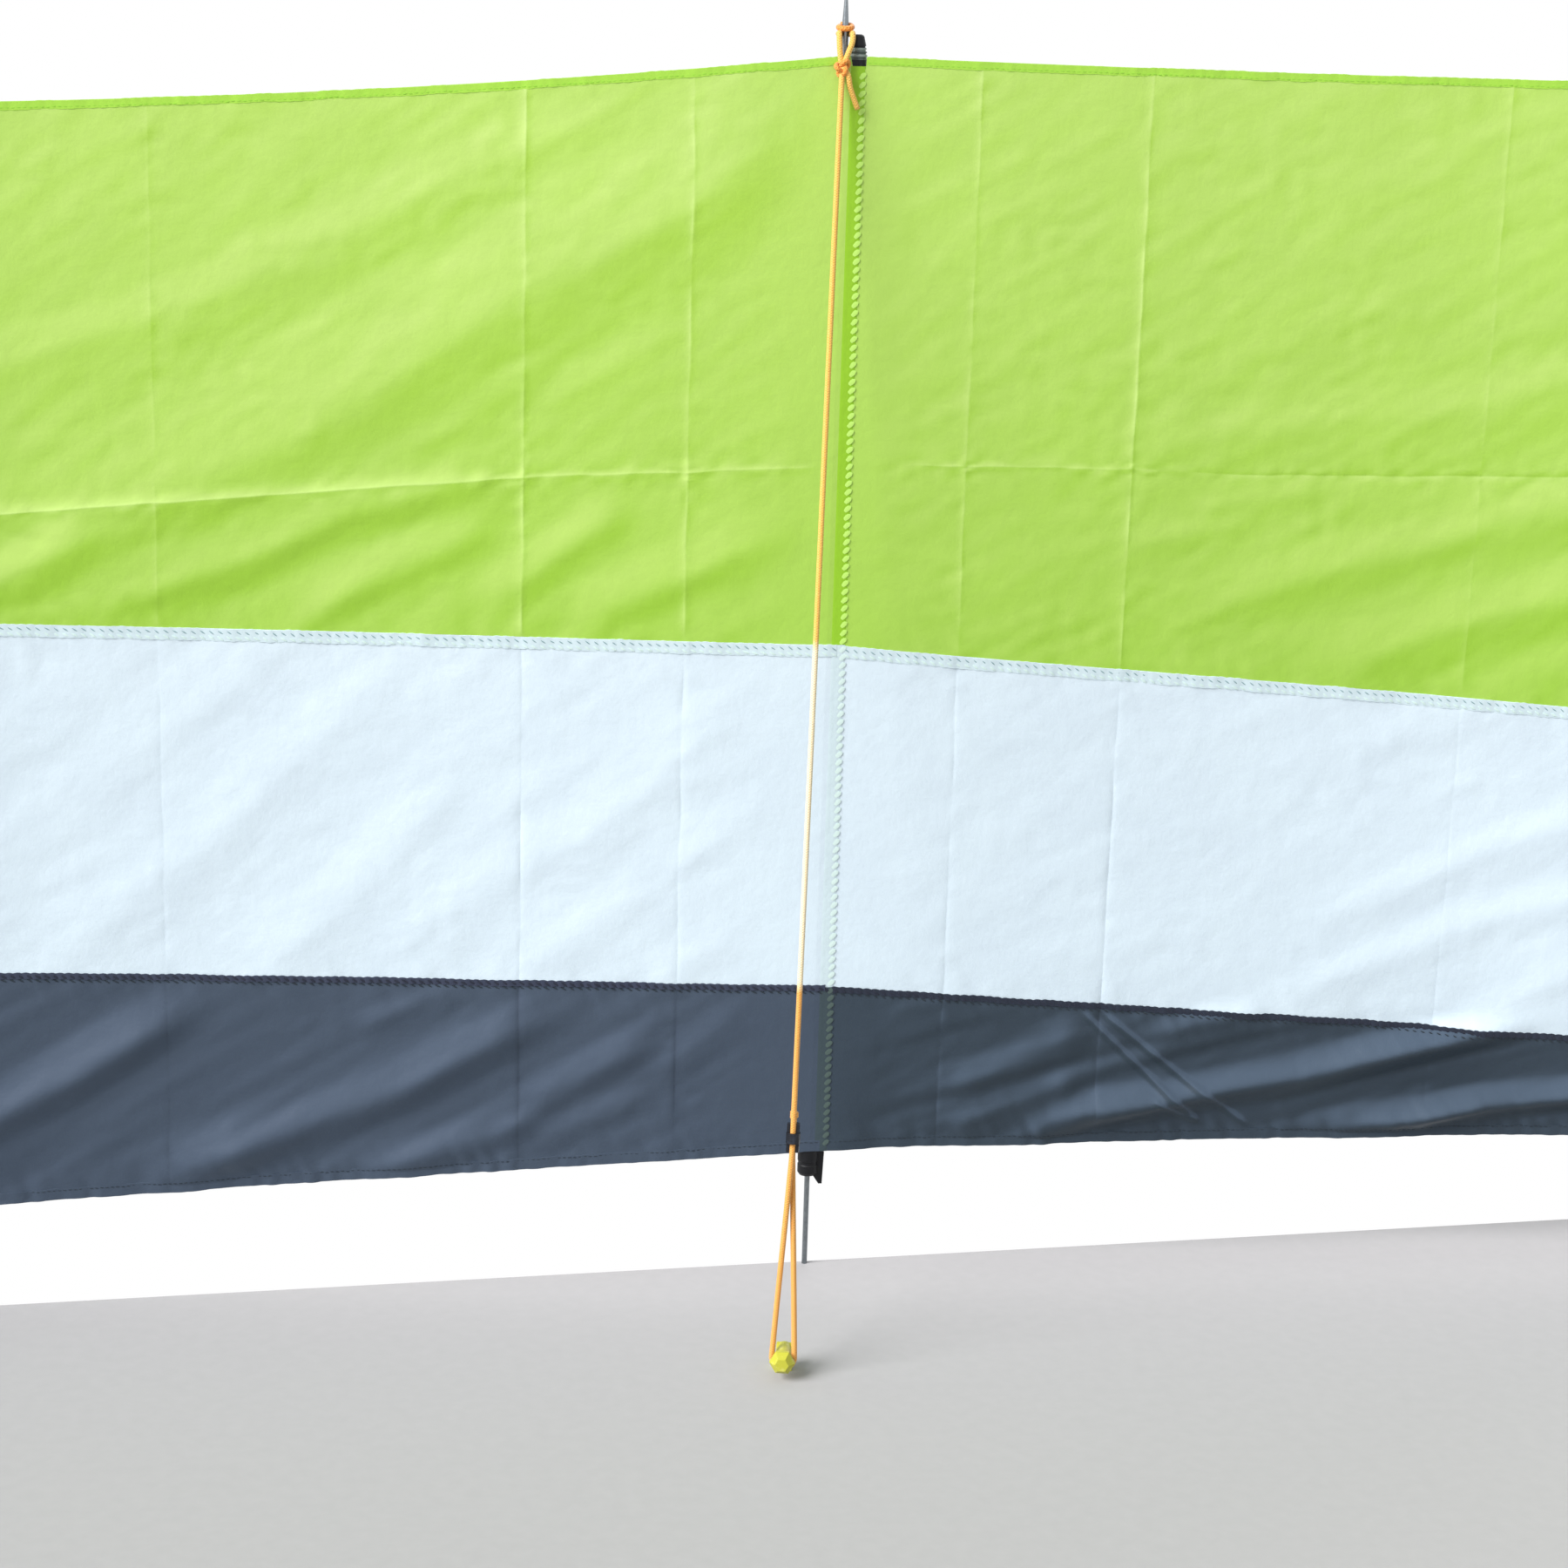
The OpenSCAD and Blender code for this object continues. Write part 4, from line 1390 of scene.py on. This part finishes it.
def guy_paths(pole):
    """Routes of one guy line: spike loop, ring, loose end, the stay to the peg and back up, and two knots."""
    z = HEAD_Z[pole]

    def head(x, y, h):
        """A point in millimetres from the pole's head."""
        return np.array([x * MM, y * MM, z + h * MM])

    def round_spike(degrees, rise=0.0):
        a = math.radians(degrees)
        return np.array([LOOP_RADIUS * math.cos(a), LOOP_RADIUS * math.sin(a), z + LOOP_UP + rise])

    def ring_rise(degrees):
        tilt = RING_TILT * math.sin(math.radians(degrees + RING_START))
        return RING_RISE + tilt + RING_CLIMB * degrees / RING_TURN

    knot = head(-4, -18, -12)
    loop = [knot + unit((-0.3, 0.3, 1)) * KNOT_EXIT]
    loop += [head(-6.5, -15, 4), head(-7, -11.5, 15), head(-6.8, -7, 23)]
    loop += [round_spike(degrees) for degrees in range(205, -26, -25)]
    loop += [head(6.8, -7, 23), head(6.6, -11.5, 15), head(2.5, -16, 4)]
    loop.append(knot + unit((0.4, -0.3, 1)) * KNOT_EXIT)
    ring = [round_spike(degrees + RING_START, ring_rise(degrees)) for degrees in range(0, RING_TURN + 1, 20)]
    tail = [knot, knot + unit((0.8, -0.3, -0.9)) * TAIL_EXIT, head(5, -19, -32), head(13.5, -16, -53)]
    hook = np.array([-PEG_LEFT, -PEG_REACH, PEG_HOOK_Z])
    up = unit(knot - hook)
    side = unit(np.cross((0, 0, 1), up))
    low = hook + up * RUNNER_UP
    high = low + up * RUNNER_LENGTH
    gap = np.cross(up, side) * RUNNER_HALF_GAP
    leg = gap * V_SHARE + side * V_OUT
    stay = [knot, (knot * 2 + high) / 3, (knot + high * 2) / 3]
    stay += [high + gap + up * V_LEAD, high + gap, low + gap, low + leg - up * V_LEAD]
    for a in np.radians(range(0, 181, 20)):
        stay.append(hook + HOOK_TURN * (math.cos(a) * side - math.sin(a) * up))
    stay += [low - leg - up * V_LEAD, low - gap, high - gap, high - gap + up * STAY_PAST]
    wound = overhand(knot, unit((1, 0.1, 0.25)), up)
    stop = stop_knot(high - gap + up * STOP_PAST, up)
    routes = [smooth_path(points, CORD_STEP) for points in (loop, ring, tail, stay)]
    return [path + (POLE_X[pole], 0.0, 0.0) for path in routes + [wound, stop]]


def make_guy(pole):
    """A guy line; its ring and its first knot are a deeper orange, painted shade."""
    thin = CORD_DIA * KNOT_PULL
    looks = ((CORD_DIA, 0), (CORD_DIA, 1), (CORD_DIA, 0), (CORD_DIA, 0), (thin, 1), (thin, 0))
    parts = []
    uvs = []
    for path, (wide, pick) in zip(guy_paths(pole), looks):
        points, faces, uv = cord_tube(path, wide)
        parts.append((points, faces, pick))
        uvs.append(uv)
    return join(f"guy_cord_{pole + 1}", parts, [CORD, SHADED_KNOT_CORD], np.concatenate(uvs))


# Putting it together.
GRIP_LOW = 0.0065
GRIP_HIGH = 0.0185

# The sewing of a bay, by name, band and line. A strip has how far its middle is below the line, its height,
# its thickness, the cloth of each bay, the first bay's seed, the pitch of its stitches and how far they draw
# it in. A row of stitches has how far it is below the line, then a stitch's length, pitch, width, slant in
# degrees, height above the cloth and thread.
HEM_ROW = 0.0022
SEWING = (
    ("top_hem", 0, top_rel,
     (TOP_HEM_TALL / 2, TOP_HEM_TALL, HEM_THICK, (HEM_GREEN,) * BAYS, 101, 0.011, 0.10),
     ((TOP_HEM_TALL - HEM_ROW, 0.0042, 0.0058, 0.0014, 0, HEM_THICK / 2, HEM_THREAD),)),
    ("upper_seam", 1, upper_seam_rel,
     (FELL_TALL / 2, FELL_TALL, FELL_THICK, (SEAM_PALE,) * BAYS, 121, 0.0095, 0.10),
     ((0.0046, 0.0060, 0.0095, 0.0018, -32, FELL_THICK / 2, TEAL_THREAD),
      (0.0104, 0.0072, 0.0095, 0.0032, -28, FELL_THICK / 2, MINT_THREAD))),
    ("lower_seam", 2, lower_seam_rel,
     (LIP_TALL / 2 - LIP_LIFT, LIP_TALL, LIP_THICK, (SEAM_SLATE, SEAM_SLATE, DEEP_SEAM), 131, 0.0092, 0.32),
     ((0.0013, 0.0086, 0.0092, 0.0036, -32, LIP_THICK * 0.45, NAVY_THREAD),
      (LIP_TALL - 0.0006, 0.0066, 0.0092, 0.0024, -24, 0.0006, DARK_THREAD))),
    ("bottom_hem", 2, bottom_rel,
     (-LOW_HEM_TALL / 2, LOW_HEM_TALL, HEM_THICK, LOW_CLOTH, 111, 0.024, 0.05),
     ((HEM_ROW - LOW_HEM_TALL, 0.0042, 0.0058, 0.0011, 0, HEM_THICK / 2, DARK_THREAD),)),
)


def keep(obj, slot, *nodes):
    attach(obj, "root")
    if nodes:
        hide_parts(*nodes)
    return obj


def dress_nodes():
    """Finishes for the solids whose shape stays."""
    for i in range(POLES):
        seat = HEAD_Z[i] - HEAD_SEAT
        grip = (seat + GRIP_LOW, seat + GRIP_HIGH)
        finishes = {
            "head_fitting": plastic_material(f"head_moulding_{i + 1}", *BLACK_LOOK, grip),
            "pole": STEEL,
            "spike": STEEL,
            "ground_pin": STEEL,
            "foot": BLACK,
            "runner": SLIDE,
            "peg": PEG,
        }
        for kind, material in finishes.items():
            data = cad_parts[f"{kind}_{i + 1}"].data
            data.materials.clear()
            data.materials.append(material)


AREA_PLACES = 200


def band_area(band, k):
    """Flat area of a band of a bay, and its greatest height."""
    top, bottom = band_lines(band, k, np.linspace(POLE_X[k] + SEAM_START, POLE_X[k + 1], AREA_PLACES))
    return float(np.mean(top - bottom) * BAY), float(np.max(top - bottom))


def make_bay(k):
    """The three sheets of a bay, with their hems, seams and stitches."""
    n = k + 1
    sheets = []
    extras = ([], [], [])
    for band, kind in enumerate(BAND_NAMES):
        sheet = make_sheet(f"{kind}_cloth_{n}", band, k)
        sheets.append(keep(sheet, BAND_SLOTS[band], f"{kind}_panel_{n}"))
    for name, band, line, strip, rows in SEWING:
        extras[band].append(keep(make_strip(f"{name}_{n}", k, line, *strip), BAND_SLOTS[band]))
        extras[band].append(keep(make_stitches(f"{name}_stitches_{n}", k, line, rows), BAND_SLOTS[band]))
    for band, sheet in enumerate(sheets):
        area, deep = band_area(band, k)


def make_pole_cloth(pole):
    sleeve, wide, tall = make_sleeve(pole)
    keep(sleeve, "cloth_sleeve", f"sleeve_{pole + 1}")
    welt = keep(make_welt(pole), "cloth_sleeve")
    row = keep(make_sleeve_stitches(pole), "cloth_sleeve")


# Stage. The floor's back edge is given in the picture.
FLOOR_EDGE = ((-10, 1499), (PICTURE + 10, 1399))
FLOOR_REACH = 6.0
FLOOR_BEND = Vector((-0.28, 0.30, 0))
SKY_TONE = (0.94, 0.97, 1.0, 1)
SKY_STRENGTH = 0.36
WHITE = (1, 1, 1, 1)

# Soft even lights: where each comes from, its strength, and its width in degrees.
LIGHTS = (
    ("key", KEY_FROM, 4.5, 36),
    ("fill", (0.55, -0.75, 0.30), 0.35, 90),
    ("back", (0.35, 0.80, 0.48), 1.5, 60),
)


def floor_material():
    made = new_finish("pale_floor")
    grain = made.spread(made.speckle(made.place(), scale=60.0, detail=4.0), *USUAL)
    return made.done({
        "Base Color": made.mix(grain, linear(179, 177, 178), linear(182, 180, 181)),
        "Roughness": 0.9,
        "Specular IOR Level": 0.1,
    })


def make_floor():
    """A plain floor that ends just behind the poles; its back edge follows the picture where it shows."""
    left = on_floor(*FLOOR_EDGE[0])
    right = on_floor(*FLOOR_EDGE[1])
    far_left = left + FLOOR_BEND
    far_right = right + (right - left).normalized() * FLOOR_REACH
    aside = Vector((FLOOR_REACH, 0, 0))
    front = Vector((0, -FLOOR_REACH, 0))
    corners = [far_left - aside, far_left - aside + front, far_right + front]
    corners += [far_right, right, left, far_left]
    new_mesh("floor", corners, [range(len(corners))], [floor_material()])


def make_world():
    """A soft sky that lights the object and is plain white where it is seen."""
    world = bpy.data.worlds.new("studio")
    bpy.context.scene.world = world
    made = Finish(world)
    made.tree.nodes.clear()
    camera, glossy, through = (
        made.put("LightPath", {}, f"Is {ray} Ray") for ray in ("Camera", "Glossy", "Transmission"))
    seen = made.math("MAXIMUM", made.math("MAXIMUM", camera, glossy), through)
    light = made.put("Background", {0: SKY_TONE, 1: SKY_STRENGTH})
    white = made.put("Background", {0: WHITE, 1: 1.0})
    out = made.tree.nodes.new("ShaderNodeOutputWorld")
    made.feed(out.inputs[0], made.put("MixShader", {0: seen, 1: light, 2: white}))


def make_stage():
    bpy.context.scene.view_settings.view_transform = "Standard"
    make_floor()
    make_world()
    for name, towards, strength, wide in LIGHTS:
        data = bpy.data.lights.new(name, "SUN")
        data.energy = strength
        data.angle = math.radians(wide)
        lamp = link(bpy.data.objects.new(name, data))
        lamp.rotation_euler = (-Vector(towards)).to_track_quat("-Z", "Y").to_euler()


make_camera()
make_stage()
dress_nodes()
for pole in range(POLES):
    make_pole_cloth(pole)
for bay in range(BAYS):
    make_bay(bay)
for pole in range(POLES):
    keep(make_guy(pole), "cord", f"guy_line_{pole + 1}")
